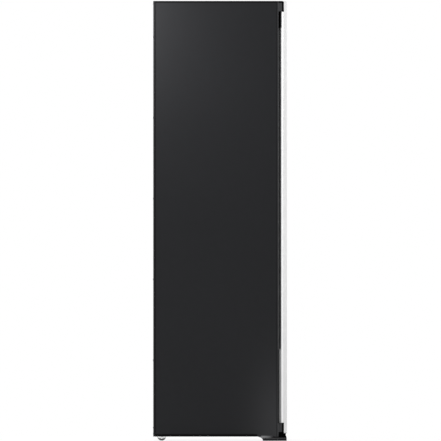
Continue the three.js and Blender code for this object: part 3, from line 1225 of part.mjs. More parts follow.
// Levelling feet: a disc, a six-sided collar for the spanner and a stud up to the pan
function levellingFoot(x) {
  return join([
    turned([
      [0, 0], [foot.disc, 0], [foot.disc, foot.discHeight / 2], [foot.hex, foot.discHeight],
      [0, foot.discHeight],
    ], x, footY, sides.disc),
    barZ(foot.hex, x, footY, [foot.discHeight / 2, foot.hexHeight], sides.hex),
    barZ(foot.stud, x, footY, [foot.discHeight / 2, panFloor - gap], sides.stud),
  ]);
}
add('leveling_foot_left', levellingFoot(-footX), 'black');
add('leveling_foot_right', levellingFoot(footX), 'black');

// Rear rollers: a crowned tyre on a hub, each between the ears of a folded bracket
const roller = { inset: 50, setback: 37, radius: 20, width: 18, axle: 3, crown: 1.5, recess: 3, hub: 7 };
const ear = { thickness: 2.5, half: 12 };
const rollerX = right - roller.inset;
const rollerY = back - roller.setback;
function rearRoller(x) {
  const half = roller.width / 2;
  const profile = [
    [roller.axle + gap, -half], [roller.hub, -half], [roller.hub, -half + roller.recess],
    [roller.radius - roller.recess, -half + roller.recess], [roller.radius - roller.recess, -half],
    [roller.radius - roller.crown, -half], [roller.radius, -half + roller.crown],
    [roller.radius, half - roller.crown],
    [roller.radius - roller.crown, half], [roller.radius - roller.recess, half],
    [roller.radius - roller.recess, half - roller.recess], [roller.hub, half - roller.recess],
    [roller.hub, half], [roller.axle + gap, half], [roller.axle + gap, -half],
  ].map(([r, u]) => new THREE.Vector2(r, u));
  const geometry = new THREE.LatheGeometry(profile, sides.drum);
  geometry.rotateZ(-Math.PI / 2);
  geometry.translate(x, rollerY, roller.radius);
  return solidOf(geometry);
}
function rollerBracket(x) {
  const half = roller.width / 2 + runningGap;
  const top = panFloor - gap;
  const y = [rollerY - ear.half, rollerY + ear.half];
  const parts = [block([x - half - ear.thickness, x + half + ear.thickness], y, [top - ear.thickness, top])];
  for (const side of [-1, 1]) {
    parts.push(block([x + side * half, x + side * (half + ear.thickness)].sort((a, b) => a - b), y,
      [roller.radius - roller.hub, top]));
  }
  const axleX = [x - half - ear.thickness, x + half + ear.thickness];
  parts.push(barX(roller.axle, axleX, rollerY, roller.radius, sides.rod));
  return join(parts);
}
for (const [side, name] of [[-1, 'left'], [1, 'right']]) {
  add(`rear_roller_${name}`, rearRoller(side * rollerX), 'lamp');
  add(`roller_bracket_${name}`, rollerBracket(side * rollerX), 'zinc');
}

export default group;
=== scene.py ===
# %% [markdown]
# # A clothes care steam cabinet
# The cabinet stands in a pale studio and is seen square from its left side.
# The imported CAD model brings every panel, hinge, wheel and tank at its real size.
# These cells light it, give each piece its finish, and model the fine pieces that CAD leaves out.

# %% Load the frame
import math
import bmesh
import bpy
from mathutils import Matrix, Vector


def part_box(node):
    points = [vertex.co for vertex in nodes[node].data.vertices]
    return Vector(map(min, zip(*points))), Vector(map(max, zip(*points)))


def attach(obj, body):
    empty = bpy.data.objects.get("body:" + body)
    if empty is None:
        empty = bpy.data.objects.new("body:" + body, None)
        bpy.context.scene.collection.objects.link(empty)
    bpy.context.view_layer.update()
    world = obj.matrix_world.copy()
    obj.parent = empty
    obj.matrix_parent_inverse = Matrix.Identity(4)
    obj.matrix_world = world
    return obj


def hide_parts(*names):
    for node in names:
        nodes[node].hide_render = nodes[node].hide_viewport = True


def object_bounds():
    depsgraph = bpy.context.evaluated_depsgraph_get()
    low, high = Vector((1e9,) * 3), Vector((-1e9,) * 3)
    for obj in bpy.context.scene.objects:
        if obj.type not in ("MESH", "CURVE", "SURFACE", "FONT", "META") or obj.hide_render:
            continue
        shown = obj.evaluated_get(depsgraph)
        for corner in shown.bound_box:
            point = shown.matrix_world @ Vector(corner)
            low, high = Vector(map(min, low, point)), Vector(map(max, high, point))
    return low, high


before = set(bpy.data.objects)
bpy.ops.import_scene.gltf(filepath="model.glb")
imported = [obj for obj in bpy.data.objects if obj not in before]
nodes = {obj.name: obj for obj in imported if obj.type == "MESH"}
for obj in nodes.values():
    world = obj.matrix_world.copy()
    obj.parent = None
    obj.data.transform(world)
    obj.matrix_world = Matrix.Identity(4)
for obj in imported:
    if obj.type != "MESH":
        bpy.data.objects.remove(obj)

bpy.ops.object.select_all(action='DESELECT')
cad_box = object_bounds()
cad_low, cad_high = [list(corner) for corner in cad_box]
print("CAD nodes", len(nodes), "box", cad_low, cad_high)

# %% [markdown]
# The photograph is a side elevation with almost no perspective.
# An orthographic camera would match it too, but a very long lens far away gives the same flat view and
# still works when other views move the camera.
# The picture is as tall as the cabinet, so the lens follows from the distance and that height.

# %% Camera
picture_height = 1.9645
camera_distance = 81.8
camera_sensor = 36.0
middle_y = -0.00155
middle_z = 0.98205
nearest, farthest = 0.1, 200
camera_data = bpy.data.cameras.new("side_camera")
camera_data.sensor_width = camera_sensor
camera_data.lens = camera_sensor * camera_distance / picture_height
camera_data.clip_start = nearest
camera_data.clip_end = farthest
camera = bpy.data.objects.new("side_camera", camera_data)
bpy.context.scene.collection.objects.link(camera)
camera.location = (cad_low[0] - camera_distance, middle_y, middle_z)
camera.rotation_euler = (math.radians(90), 0, math.radians(-90))
bpy.context.scene.camera = camera
print("lens", round(camera_data.lens, 1), "mm")

# %% [markdown]
# Paint on the real cabinet changes with its place: darker along a fold, paler near the floor.
# Such a mask could be wired by hand as a chain of Math nodes, which is soon hard to read.
# Here a Value wraps one output socket and its operators add the Math nodes, so a mask reads like a formula.

# %% Shader maths
class Value:
    """One number that changes over a surface, as the output socket of a node."""

    def __init__(self, finish, socket):
        self.finish = finish
        self.socket = socket

    def combine(self, operation, first, second=0.0, clamp=False):
        settings = {"operation": operation, "use_clamp": clamp}
        return self.finish.node("ShaderNodeMath", settings, {0: first, 1: second})

    def __add__(self, other):
        return self.combine("ADD", self, other)

    def __sub__(self, other):
        return self.combine("SUBTRACT", self, other)

    def __rsub__(self, other):
        return self.combine("SUBTRACT", other, self)

    def __mul__(self, other):
        return self.combine("MULTIPLY", self, other)

    def __truediv__(self, other):
        return self.combine("DIVIDE", self, other)

    def __pow__(self, other):
        return self.combine("POWER", self, other)

    def __gt__(self, other):
        return self.combine("GREATER_THAN", self, other)

    def __lt__(self, other):
        return self.combine("LESS_THAN", self, other)

    def __abs__(self):
        return self.combine("ABSOLUTE", self)

    def __mod__(self, other):
        return self.combine("FLOORED_MODULO", self, other)

    def clamped(self):
        """The value kept between 0 and 1."""
        return self.combine("ADD", self, clamp=True)

    def falloff(self):
        """One at zero, fading smoothly as the value grows."""
        return self.combine("EXPONENT", self * -1.0)

    def between(self, low, high):
        """One where the value lies between two limits, and zero elsewhere."""
        return (self > low) * (self < high)

    __radd__ = __add__
    __rmul__ = __mul__


# %% [markdown]
# Each real finish, such as a powder coat or a moulded plastic, becomes one Finish: a Principled shader with
# the object's own place on X, Y and Z at hand. Its node method adds any other node in one line, with the
# settings first and the inputs after, so that no finish has to repeat how nodes are made and linked.

# %% One finish
class Finish:
    """One procedural material, built round a Principled shader."""

    def __init__(self, name, color, roughness, **fixed):
        self.material = bpy.data.materials.new(name)
        self.material.use_nodes = True
        self.tree = self.material.node_tree
        self.shader = self.tree.nodes["Principled BSDF"]
        self.set("Base Color", (*color, 1.0))
        self.set("Roughness", roughness)
        for socket, value in fixed.items():
            self.set(socket.replace("_", " "), value)
        place = self.tree.nodes.new("ShaderNodeTexCoord")
        self.place = Value(self, place.outputs["Object"])
        axes = self.tree.nodes.new("ShaderNodeSeparateXYZ")
        self.tree.links.new(place.outputs["Object"], axes.inputs[0])
        self.x, self.y, self.z = [Value(self, socket) for socket in axes.outputs]

    def put(self, socket, value):
        if isinstance(value, Value):
            self.tree.links.new(value.socket, socket)
        else:
            socket.default_value = value

    def set(self, name, value):
        self.put(self.shader.inputs[name], value)

    def node(self, kind, settings, inputs, output=0):
        made = self.tree.nodes.new(kind)
        for name, value in settings.items():
            setattr(made, name, value)
        for name, value in inputs.items():
            self.put(made.inputs[name], value)
        return Value(self, made.outputs[output])

    def noise(self, scale, detail=2.0):
        return self.node("ShaderNodeTexNoise", {}, {"Vector": self.place, "Scale": scale, "Detail": detail})

    def streaks(self, stretch, scale):
        """Noise that is drawn out into lines along the axis whose stretch is small."""
        drawn = self.node("ShaderNodeMapping", {}, {"Vector": self.place, "Scale": stretch})
        return self.node("ShaderNodeTexNoise", {}, {"Vector": drawn, "Scale": scale, "Detail": 3.0})

    def mix(self, mask, first, second):
        """Blends two colours, which the Mix node takes at its sockets 6 and 7 and gives at output 2."""
        shades = [shade if isinstance(shade, Value) else (*shade, 1.0) for shade in (first, second)]
        return self.node("ShaderNodeMix", {"data_type": 'RGBA'}, {0: mask, 6: shades[0], 7: shades[1]}, 2)

    def color_so_far(self):
        """The mixed colour that the shader has by now, for a next mix over it."""
        return Value(self, self.shader.inputs["Base Color"].links[0].from_socket)

    def bump(self, height, strength, distance):
        inputs = {"Height": height, "Strength": strength, "Distance": distance}
        self.set("Normal", self.node("ShaderNodeBump", {}, inputs))


def finish_nodes(finish, *names):
    """Puts a finish on the named CAD nodes."""
    for name in names:
        for place in nodes[name].material_slots:
            place.material = finish.material
    print(finish.material.name, "on", len(names), "nodes")


# %% [markdown]
# The panels, lid, back and fascias of the real cabinet are steel with a fine satin powder coat.
# One flat dark colour would look like a hole, so two noises do the work: a wide one shifts the shade a
# little and a small one wears it, and a very fine bump gives the grain of the coat.
# It is nearly black with a cool tint, so the sheen comes from its roughness and not from its colour.

# %% Charcoal coat
charcoal = (0.0104, 0.0107, 0.0120)
cloud_scale, cloud_detail, worn_scale, powder_scale = 1.4, 3.0, 38.0, 1400.0
powder_depth = 0.0004


def scaled(color, share):
    """The same colour, lighter or darker."""
    return tuple(min(1.0, channel * share) for channel in color)


def charcoal_coat(name, color=charcoal, sheen=0.13):
    coat = Finish(name, color, 0.47, Specular_IOR_Level=sheen)
    cloud = coat.noise(cloud_scale, cloud_detail)
    worn = coat.noise(worn_scale, 4.0)
    shade = (cloud - 0.5) * 0.22 + (worn - 0.5) * 0.10 + 1.0
    coat.set("Base Color", coat.mix((shade - 0.5).clamped(), scaled(color, 0.4), scaled(color, 1.6)))
    coat.set("Roughness", (cloud * 0.10 + worn * 0.05 + 0.40).clamped())
    coat.bump(coat.noise(powder_scale), 0.10, powder_depth)
    return coat


finish_nodes(charcoal_coat("charcoal_coat"), "top_panel", "back_panel")

# %% [markdown]
# The side panels have the same coat, with painted light and shade along their folds and where they stand.
# Their rear, head and foot edges turn away from the light, so they get thin dark lines of painted shade; the
# front fold gets a paler line of painted highlight with a line of painted shade behind it, and beside the
# door's tray that fold is painted black as the shade of the gap.
# Over the front foot the coat has a faint painted sheen, and its toe has a painted glint where the plinth
# flares out.
# Light alone can't give lines this thin, so they are masks on Y and Z, measured from the panel's own box.

# %% Side panels
panel_low, panel_high = [Vector(corner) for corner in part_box("side_panel_left")]
sheen_y, sheen_z = panel_low.y - 0.0005, panel_low.z + 0.0207
sheen_depth, sheen_height = 0.114, 0.27
gap_y = panel_low.y + 0.0018
gap_low, gap_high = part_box("door_liner")[0][2] - 0.0010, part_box("door_gasket")[0][2] - 0.0016
fold_front, fold_rear = panel_low.y - 0.0005, panel_low.y + 0.0029
crease_front, crease_rear = panel_low.y + 0.0055, panel_low.y + 0.0087
rear_edge, head_edge = panel_high.y - 0.0037, panel_high.z - 0.0082
foot_edge, foot_front = panel_low.z + 0.0119, -0.165
flare_start, flare_slope = -0.2360, 24.0
toe_rear, toe_height = -0.183, panel_low.z + 0.0032
painted_sheen_grey, fold_highlight_grey = (0.0275, 0.0278, 0.0295), (0.0430, 0.0436, 0.0455)
shade_black, toe_glint_grey = (0.0015, 0.0015, 0.0017), (0.300, 0.303, 0.310)


def side_coat(name):
    coat = charcoal_coat(name)
    # Painted sheen: the coat is lightened in a soft patch near the front foot.
    sheen_near_foot = (((coat.y - sheen_y) / sheen_depth) ** 2.0 + ((coat.z - sheen_z) / sheen_height) ** 2.0).falloff()
    with_sheen = coat.mix(sheen_near_foot, coat.color_so_far(), painted_sheen_grey)
    # Painted shade: beside the tray the fold is black as the shade of the gap, and Metallic takes its sheen
    # away.
    tray_gap_shade = (coat.y < gap_y) * coat.z.between(gap_low, gap_high)
    # Painted shade: thin dark lines along the rear, foot and head edges, and in the crease behind the fold.
    edge_shade = (coat.y > rear_edge) + (coat.z < foot_edge) * (coat.y > foot_front) + (coat.z > head_edge)
    crease_shade = coat.y.between(crease_front, crease_rear)
    painted_shade = (edge_shade + tray_gap_shade + crease_shade * 0.7).clamped()
    with_shade = coat.mix(painted_shade, with_sheen, shade_black)
    # Painted highlight: a paler line along the front fold.
    fold_highlight = coat.y.between(fold_front, fold_rear) * (1.0 - tray_gap_shade)
    with_highlight = coat.mix(fold_highlight, with_shade, fold_highlight_grey)
    # Painted highlight: a glint on the toe where the plinth flares out.
    on_toe = (coat.z < toe_height) * (coat.y < toe_rear)
    toe_glint = ((coat.y - flare_start) * flare_slope).clamped() * on_toe
    coat.set("Base Color", coat.mix(toe_glint, with_highlight, toe_glint_grey))
    coat.set("Metallic", tray_gap_shade)
    coat.set("Roughness", (painted_shade * 0.4 + coat.noise(cloud_scale, cloud_detail) * 0.10 + 0.42).clamped())
    return coat


finish_nodes(side_coat("side_coat"), "side_panel_left", "side_panel_right")

# %% [markdown]
# The fascias close the cabinet above and below the door, in the same coat with less sheen.
# Their outer ends get thin black lines of painted shade in the seams towards the door and along the head and
# the foot. The seams could be cut as grooves, but they are narrower than a line of the picture, so a mask
# near the ends paints that shade.

# %% Fascias
fascia_grey, seam_shade_black = (0.0390, 0.0395, 0.0415), (0.0005, 0.0005, 0.0006)
door_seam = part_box("top_fascia")[0][1] + 0.0072
half_height = (cad_low[2] + cad_high[2]) / 2
seam_reach, foot_seam = half_height - 0.0045, panel_low.z + 0.0209
seam_end = cad_high[0] - 0.0020


def fascia_coat(name):
    coat = charcoal_coat(name, fascia_grey, 0.03)
    facing_door = (coat.y < door_seam) * (abs(coat.z - half_height) < seam_reach)
    # Painted shade: black lines in the seams at the ends, towards the door and along the head and the foot.
    seam_shade = (facing_door + (coat.z < foot_seam) + (coat.z > head_edge)) * (abs(coat.x) > seam_end)
    coat.set("Base Color", coat.mix(seam_shade.clamped(), coat.color_so_far(), seam_shade_black))
    coat.set("Roughness", (seam_shade * 0.45 + 0.45).clamped())
    return coat


finish_nodes(fascia_coat("fascia_coat"), "top_fascia", "bottom_fascia")

# %% [markdown]
# The bezel of the tank bay, the display's housing, the feet and the plinth are black mouldings.
# Etched tools give them a dull fine grain, which a noise bump makes without any more mesh.
# The plinth is lit along its rear flare in the photograph, so a paler ramp on Y starts there.

# %% Black mouldings
grain_scale, grain_depth = 900.0, 0.00012


def grained_plastic(name, color, roughness):
    plastic = Finish(name, color, roughness, Specular_IOR_Level=0.07)
    flow = plastic.noise(6.0, 3.0)
    plastic.set("Base Color", plastic.mix(flow, scaled(color, 0.86), scaled(color, 1.10)))
    plastic.set("Roughness", (flow * 0.14 + (roughness - 0.07)).clamped())
    plastic.bump(plastic.noise(grain_scale), 0.25, grain_depth)
    return plastic


black_plastic = grained_plastic("black_moulding", (0.0045, 0.0045, 0.0050), 0.60)
finish_nodes(black_plastic, "tank_bay_frame", "leveling_foot_left", "leveling_foot_right", "control_display")

step_low, step_high = 0.0086, 0.0134
plinth_skin = grained_plastic("plinth_moulding", (0.0165, 0.0168, 0.0178), 0.5)
# Painted highlight: a paler ramp along the plinth's rear flare.
flare_highlight = ((plinth_skin.y - flare_start) * flare_slope).clamped() * (plinth_skin.z > step_high)
# Painted light: a lighter band at one height low on the plinth, with the rest darker.
light_band = plinth_skin.z.between(step_low, step_high)
plinth_color = plinth_skin.mix(light_band, (0.0150, 0.0153, 0.0163), (0.0520, 0.0525, 0.0540))
plinth_skin.set("Base Color", plinth_skin.mix(flare_highlight, plinth_color, (0.38, 0.384, 0.39)))
finish_nodes(plinth_skin, "plinth_cover")

# %% [markdown]
# The hinge brackets are black steel, rubbed a little by use, and they hide in the gaps round the door.
# The upper one also closes the gap over the chamber with a long plate of a very dark grey. Its ends and the
# other bracket are near black, partly the steel's own black and partly painted shade of the gaps. A mask by
# place keeps both in one finish, because the bracket is one piece of steel.

# %% Hinge steel
plate_half_width, plate_foot = 0.2840, 1.80
hinge_steel = Finish("hinge_steel", (0.0035, 0.0035, 0.0038), 0.8, Specular_IOR_Level=0.03)
hinge_wear = hinge_steel.noise(120.0, 3.0)
# Outside the closing plate the steel stays near black: partly its own colour, partly painted shade of the
# gaps.
closing_plate = (abs(hinge_steel.x) < plate_half_width) * (hinge_steel.z > plate_foot)
hinge_shade = hinge_steel.mix(hinge_wear, (0.0008, 0.0008, 0.0009), (0.0022, 0.0022, 0.0024))
hinge_steel.set("Base Color", hinge_steel.mix(closing_plate, hinge_shade, (0.0150, 0.0153, 0.0162)))
hinge_steel.bump(hinge_wear, 0.1, 0.0003)
finish_nodes(hinge_steel, "hinge_bracket_upper", "hinge_bracket_lower")

# %% [markdown]
# The door's face is glass with a pale coating on its back, which looks white and glossy.
# Its edge is lit a little more round the middle of its height, so a wide soft hump on Z lifts the colour
# there. A lamp could do that too, but it would light the dark panel beside it as well.

# %% Door glass
door_face = Finish("back_coated_glass", (0.70, 0.705, 0.705), 0.10, Coat_Roughness=0.03)
tint = door_face.noise(0.9)
plain = door_face.mix(tint, (0.68, 0.685, 0.685), (0.75, 0.755, 0.755))
front_side = door_face.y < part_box("door_glass")[0][1] + 0.0008
brightest_z, lift_height, lift_share = 0.86, 0.48, 0.26


def lifted(finish, color):
    """Paints a soft highlight on a pale finish round the middle of the door's height."""
    middle = (((finish.z - brightest_z) / lift_height) ** 2.0).falloff()
    return finish.mix(middle * lift_share, color, (1.0, 1.0, 1.0))


# %% [markdown]
# Behind the glass a touch strip shows a soft grey window with a few generic symbols.
# A picture of them could be laid on the glass, but here they are formulas on X and Z: a ring is the
# distance from a centre compared with a radius. Only the colour changes, so the glass stays one smooth sheet.

# %% Touch window
def ring(z, radius, line):
    """A ring on the door's middle line, or a dot where the radius is zero."""
    far = (door_face.x ** 2.0 + (door_face.z - z) ** 2.0) ** 0.5
    return abs(far - radius) < line / 2


def block_mark(z, half_x, half_z):
    return (abs(door_face.x) < half_x) * (abs(door_face.z - z) < half_z)


display_low, display_high = [Vector(corner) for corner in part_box("control_display")]
window_z = (display_low.z + display_high.z) / 2
window_half_x, window_half_z = display_high.x - 0.0045, window_z - display_low.z - 0.0025
line_width, dot_width = 0.0022, 0.0056
power_z, first_key_z, key_pitch, bar_z = 1.092, 1.140, 0.034, 1.262
marks = ring(power_z, 0.0080, line_width) + block_mark(power_z + 0.0075, 0.0012, 0.0050)
for row in range(3):
    key_z = first_key_z + row * key_pitch
    marks = marks + ring(key_z, 0.0100, line_width) + ring(key_z, 0.0, dot_width)
marks = (marks + block_mark(bar_z, 0.0180, 0.0024)).clamped() * front_side
edge_or_face = door_face.mix(front_side, lifted(door_face, plain), plain)
window = block_mark(window_z, window_half_x, window_half_z) * front_side
smoked = door_face.mix(window, edge_or_face, (0.060, 0.062, 0.066))
door_face.set("Base Color", door_face.mix(marks, smoked, (0.86, 0.88, 0.90)))
door_face.set("Roughness", (tint * 0.04 + 0.07).clamped())
finish_nodes(door_face, "door_glass")

# %% [markdown]
# The door's edge, as the photograph shows it, starts with an aluminium trim behind the glass.
# It is anodised, with fine vertical brush lines, so noise is stretched along Z for its shade and bump.
# Its rear millimetre lies in the seam to the fascias at the head and the foot, where painted shade makes it
# black.
# Round the middle of its height it gets the same painted highlight as the glass.

# %% Door trim
seam_front, edge_middle, edge_reach = -0.2842, 0.9975, 0.9150
trim_metal = Finish("anodised_trim", (0.66, 0.66, 0.66), 0.38, Metallic=0.15)
brushed = trim_metal.streaks((1.0, 1.0, 0.02), 900.0)
# Painted highlight round the middle of the door's height.
trim_color = lifted(trim_metal, trim_metal.mix(brushed, (0.62, 0.62, 0.62), (0.69, 0.69, 0.69)))
# Painted shade: black in the seams to the fascias at the head and the foot.
rail_seam_shade = (trim_metal.y > seam_front) * (abs(trim_metal.z - edge_middle) > edge_reach)
trim_metal.set("Base Color", trim_metal.mix(rail_seam_shade, trim_color, (0.010, 0.010, 0.0105)))
trim_metal.set("Roughness", (brushed * 0.12 + 0.32).clamped())
trim_metal.bump(brushed, 0.08, 0.0001)
finish_nodes(trim_metal, "door_trim")

# %% [markdown]
# Behind the trim comes the pale plastic frame of the door, whose bevel gets a painted highlight, and which
# gets the same painted highlight round the middle of its height as the glass.
# Its rear edge lies in the shadow of the seal, and deeper still where it passes the closing plate.
# The gap is too narrow for the lamps to give that shadow as crisply as the photograph, so masks do it.

# %% Door frame
chamber_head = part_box("chamber_liner")[1][2]
seal_foot = 0.41
shadow_front, head_shadow_front = -0.2716, -0.2736
bevel_front, bevel_rear = -0.2812, -0.2767


def moulded(name, low, high, roughness=0.42):
    """A moulded plastic whose shade flows between two colours, under a faint grain."""
    plastic = Finish(name, high, roughness, Specular_IOR_Level=0.35)
    flow = plastic.noise(2.2, 3.0)
    plastic.set("Base Color", plastic.mix(flow, low, high))
    plastic.set("Roughness", (flow * 0.12 + (roughness - 0.06)).clamped())
    plastic.bump(plastic.noise(500.0), 0.12, 0.0001)
    return plastic


frame_plastic = moulded("door_frame_plastic", (0.59, 0.59, 0.59), (0.66, 0.66, 0.66))
along_y, along_z = frame_plastic.y, frame_plastic.z
at_head = along_z > chamber_head
seal_shadow = (along_y > shadow_front) * (along_z > seal_foot) + (along_y > head_shadow_front) * at_head
# Painted highlight: a near white band on the bevel.
bevel_glint = along_y.between(bevel_front, bevel_rear)
lifted_color = lifted(frame_plastic, frame_plastic.color_so_far())
frame_color = frame_plastic.mix(bevel_glint, lifted_color, (0.95, 0.95, 0.95))
shadow_tone = frame_plastic.mix(at_head, (0.045, 0.045, 0.046), (0.012, 0.012, 0.0125))
frame_plastic.set("Base Color", frame_plastic.mix(seal_shadow.clamped(), frame_color, shadow_tone))
finish_nodes(frame_plastic, "door_frame")

# %% [markdown]
# The door's inner side is a grey tray. From the side it shows only below the seal, as a grey strip with a
# black gap behind it, so its rear outer edge is painted dark with the shade of that gap.
# The door's core is foam between two end caps of the same grey, and one finish tells them apart by height.

# %% Door tray and core
tray_low, tray_high = (0.27, 0.273, 0.276), (0.31, 0.313, 0.317)
shaded_x, shaded_y = 0.2915, -0.2640
core_middle, core_reach = 0.9965, 0.9152
tray_plastic = moulded("door_tray_plastic", tray_low, tray_high)
# Painted shade: the tray's rear outer edge is darkened as the gap's shade.
shaded_edge = (abs(tray_plastic.x) > shaded_x) * (tray_plastic.y > shaded_y)
tray_color = tray_plastic.mix(shaded_edge, tray_plastic.color_so_far(), (0.004, 0.004, 0.0045))
tray_plastic.set("Base Color", tray_color)
finish_nodes(tray_plastic, "door_liner")

door_core = moulded("door_end_caps", tray_low, tray_high)
between_caps = abs(door_core.z - core_middle) < core_reach
door_core.set("Base Color", door_core.mix(between_caps, door_core.color_so_far(), (0.70, 0.58, 0.33)))
finish_nodes(door_core, "door_foam")

# %% [markdown]
# Inside, the chamber is lined with smooth pale plastic that steam has left a little uneven.
# Shelf, grille, filter, hangers, fan and pumps are grey mouldings, and the hinge bushes are bearing plastic.
# They are all the same kind of moulding, so one function makes them from two shades each.

# %% Chamber plastics
liner_plastic = moulded("chamber_plastic", (0.66, 0.67, 0.665), (0.73, 0.74, 0.735), 0.36)
finish_nodes(liner_plastic, "chamber_liner")
grey_plastic = moulded("grey_moulding", (0.235, 0.245, 0.255), (0.29, 0.30, 0.31), 0.5)
finish_nodes(grey_plastic, "garment_shelf", "air_outlet_grille", "lint_filter", "aroma_cup",
             "press_back_plate", "trouser_hanger", "garment_hanger_1", "garment_hanger_2",
             "circulation_fan", "water_pump", "drain_pump")
bush_plastic = moulded("bearing_plastic", (0.60, 0.58, 0.52), (0.68, 0.66, 0.60), 0.4)
finish_nodes(bush_plastic, "hinge_bush_lower", "hinge_bush_upper")

# %% [markdown]
# The press panel holds trousers flat against the door. It is a board with a woven cover whose piping
# runs as a thin grey line inside its rim. The line is a mask by distance from the board's middle, and
# the weave is a repeating bump, because threads this fine would need a very dense mesh.

# %% Press board
board_low, board_high = [Vector(corner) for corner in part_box("press_panel")]
board_middle = (board_low.z + board_high.z) / 2
piping_x, piping_z = board_high.x - 0.018, board_high.z - board_middle - 0.017
piping = 0.0018
threads = 250.0
board_cover = moulded("press_board_cover", (0.63, 0.64, 0.635), (0.70, 0.71, 0.705), 0.5)
from_x, from_z = abs(board_cover.x), abs(board_cover.z - board_middle)
upright_lines = from_x.between(piping_x, piping_x + piping) * (from_z < piping_z + piping)
level_lines = from_z.between(piping_z, piping_z + piping) * (from_x < piping_x + piping)
piping_line = (upright_lines + level_lines).clamped()
board_cover.set("Base Color", board_cover.mix(piping_line, board_cover.color_so_far(), (0.24, 0.245, 0.25)))
weave = ((board_cover.x * threads) % 1.0) * ((board_cover.z * threads) % 1.0)
board_cover.bump(weave, 0.25, 0.0003)
finish_nodes(board_cover, "press_panel")

# %% [markdown]
# The base pan, the deck and the drive's base and yoke are zinc sheet, which shows cloudy spangles.
# Voronoi cells have the shape of spangles: each cell's random colour, made grey, gives its shade and gloss.

# %% Zinc sheet
zinc = Finish("zinc_sheet", (0.48, 0.49, 0.51), 0.42, Metallic=0.9)
spangle = zinc.node("ShaderNodeTexVoronoi", {}, {"Vector": zinc.place, "Scale": 130.0}, 1)
spangle_grey = zinc.node("ShaderNodeRGBToBW", {}, {0: spangle})
zinc.set("Base Color", zinc.mix(spangle_grey, (0.40, 0.41, 0.43), (0.58, 0.59, 0.61)))
zinc.set("Roughness", (spangle_grey * 0.18 + 0.34).clamped())
finish_nodes(zinc, "base_pan", "bay_deck", "drive_base", "hanger_yoke")

# %% [markdown]
# Turned and drawn steel shows fine lines, and so do the pressed fins of the two coils.
# All are one kind of finish: noise stretched along the axis in which the metal was worked.

# %% Drawn metals
def drawn_metal(name, color, stretch, roughness=0.3):
    metal = Finish(name, color, roughness, Metallic=1.0)
    lines = metal.streaks(stretch, 700.0)
    metal.set("Base Color", metal.mix(lines, scaled(color, 0.86), color))
    metal.set("Roughness", (lines * 0.16 + (roughness - 0.08)).clamped())
    metal.bump(lines, 0.10, 0.0001)
    return metal


all_ways, upright_fins = (1.0, 1.0, 1.0), (1.0, 1.0, 0.05)
finish_nodes(drawn_metal("drawn_steel", (0.60, 0.60, 0.61), (0.02, 1.0, 1.0), 0.26), "hanger_bar")
finish_nodes(drawn_metal("turned_steel", (0.50, 0.50, 0.51), (1.0, 1.0, 0.03), 0.34), "steam_nozzle",
             "press_latch", "drive_pulley", "motor_pulley", "drive_motor", "fan_motor", "steam_generator")
finish_nodes(drawn_metal("fin_aluminium", (0.66, 0.665, 0.67), upright_fins, 0.36), "evaporator")
finish_nodes(drawn_metal("copper_coil", (0.62, 0.33, 0.20), upright_fins, 0.34), "condenser")

# %% [markdown]
# The compressor is a pressed shell in thick black enamel with a copper pipe out of its top.
# Enamel dries with the skin of an orange, which a soft noise bump under a clear coat gives.
# The pipe rises over the shell, so a mask by height turns it to copper.

# %% Compressor
pipe_foot = 0.2525
enamel, copper = (0.012, 0.012, 0.013), (0.60, 0.31, 0.18)
shell_paint = Finish("compressor_enamel", enamel, 0.28, Coat_Weight=0.3)
copper_pipe = shell_paint.z > pipe_foot
orange_peel = shell_paint.noise(160.0)
shell_paint.set("Base Color", shell_paint.mix(copper_pipe, enamel, copper))
shell_paint.set("Metallic", copper_pipe)
shell_paint.set("Roughness", (orange_peel * 0.15 + 0.22).clamped())
shell_paint.bump(orange_peel, 0.15, 0.0004)
finish_nodes(shell_paint, "compressor")

# %% [markdown]
# The seal and the drive belt are dark rubber with a matte, slightly cloudy skin.
# Bands on Y paint highlights along the seal's two lips.

# %% Rubber
rear_lip_start, rear_lip_end = -0.2636, -0.2500
front_lip_start, front_lip_end = -0.2692, -0.2668
rubber = Finish("seal_rubber", (0.020, 0.0203, 0.021), 0.75, Specular_IOR_Level=0.3)
rubber_shade = rubber.mix(rubber.noise(30.0, 3.0), (0.024, 0.0243, 0.0255), (0.050, 0.0505, 0.0525))
rear_lip = rubber.y.between(rear_lip_start, rear_lip_end)
front_lip = rubber.y.between(front_lip_start, front_lip_end)
# Painted highlight along the seal's two lips.
lip_highlight = rear_lip * 0.95 + front_lip * 0.60
rubber.set("Base Color", rubber.mix(lip_highlight, rubber_shade, (0.170, 0.172, 0.175)))
rubber.bump(rubber.noise(1500.0), 0.2, 0.0002)
finish_nodes(rubber, "drive_belt", "door_gasket")

# %% [markdown]
# The insulation and the air duct are rigid foam, yellowed unevenly with age.
# It has open cells, so a Voronoi distance dents its skin, which is far lighter than cells of mesh.

# %% Foam
foam = Finish("rigid_foam", (0.72, 0.60, 0.34), 0.95)
cells = foam.node("ShaderNodeTexVoronoi", {}, {"Vector": foam.place, "Scale": 420.0})
foam.set("Base Color", foam.mix(foam.noise(7.0, 4.0), (0.62, 0.49, 0.25), (0.78, 0.67, 0.41)))
foam.bump(cells, 0.5, 0.0008)
finish_nodes(foam, "insulation_foam", "air_duct")

# %% [markdown]
# The water tanks have a tinted glossy wall with a pale fill line moulded on the front.
# Real tanks are see-through. A solid tinted wall looks the same in the dark bay and renders faster.

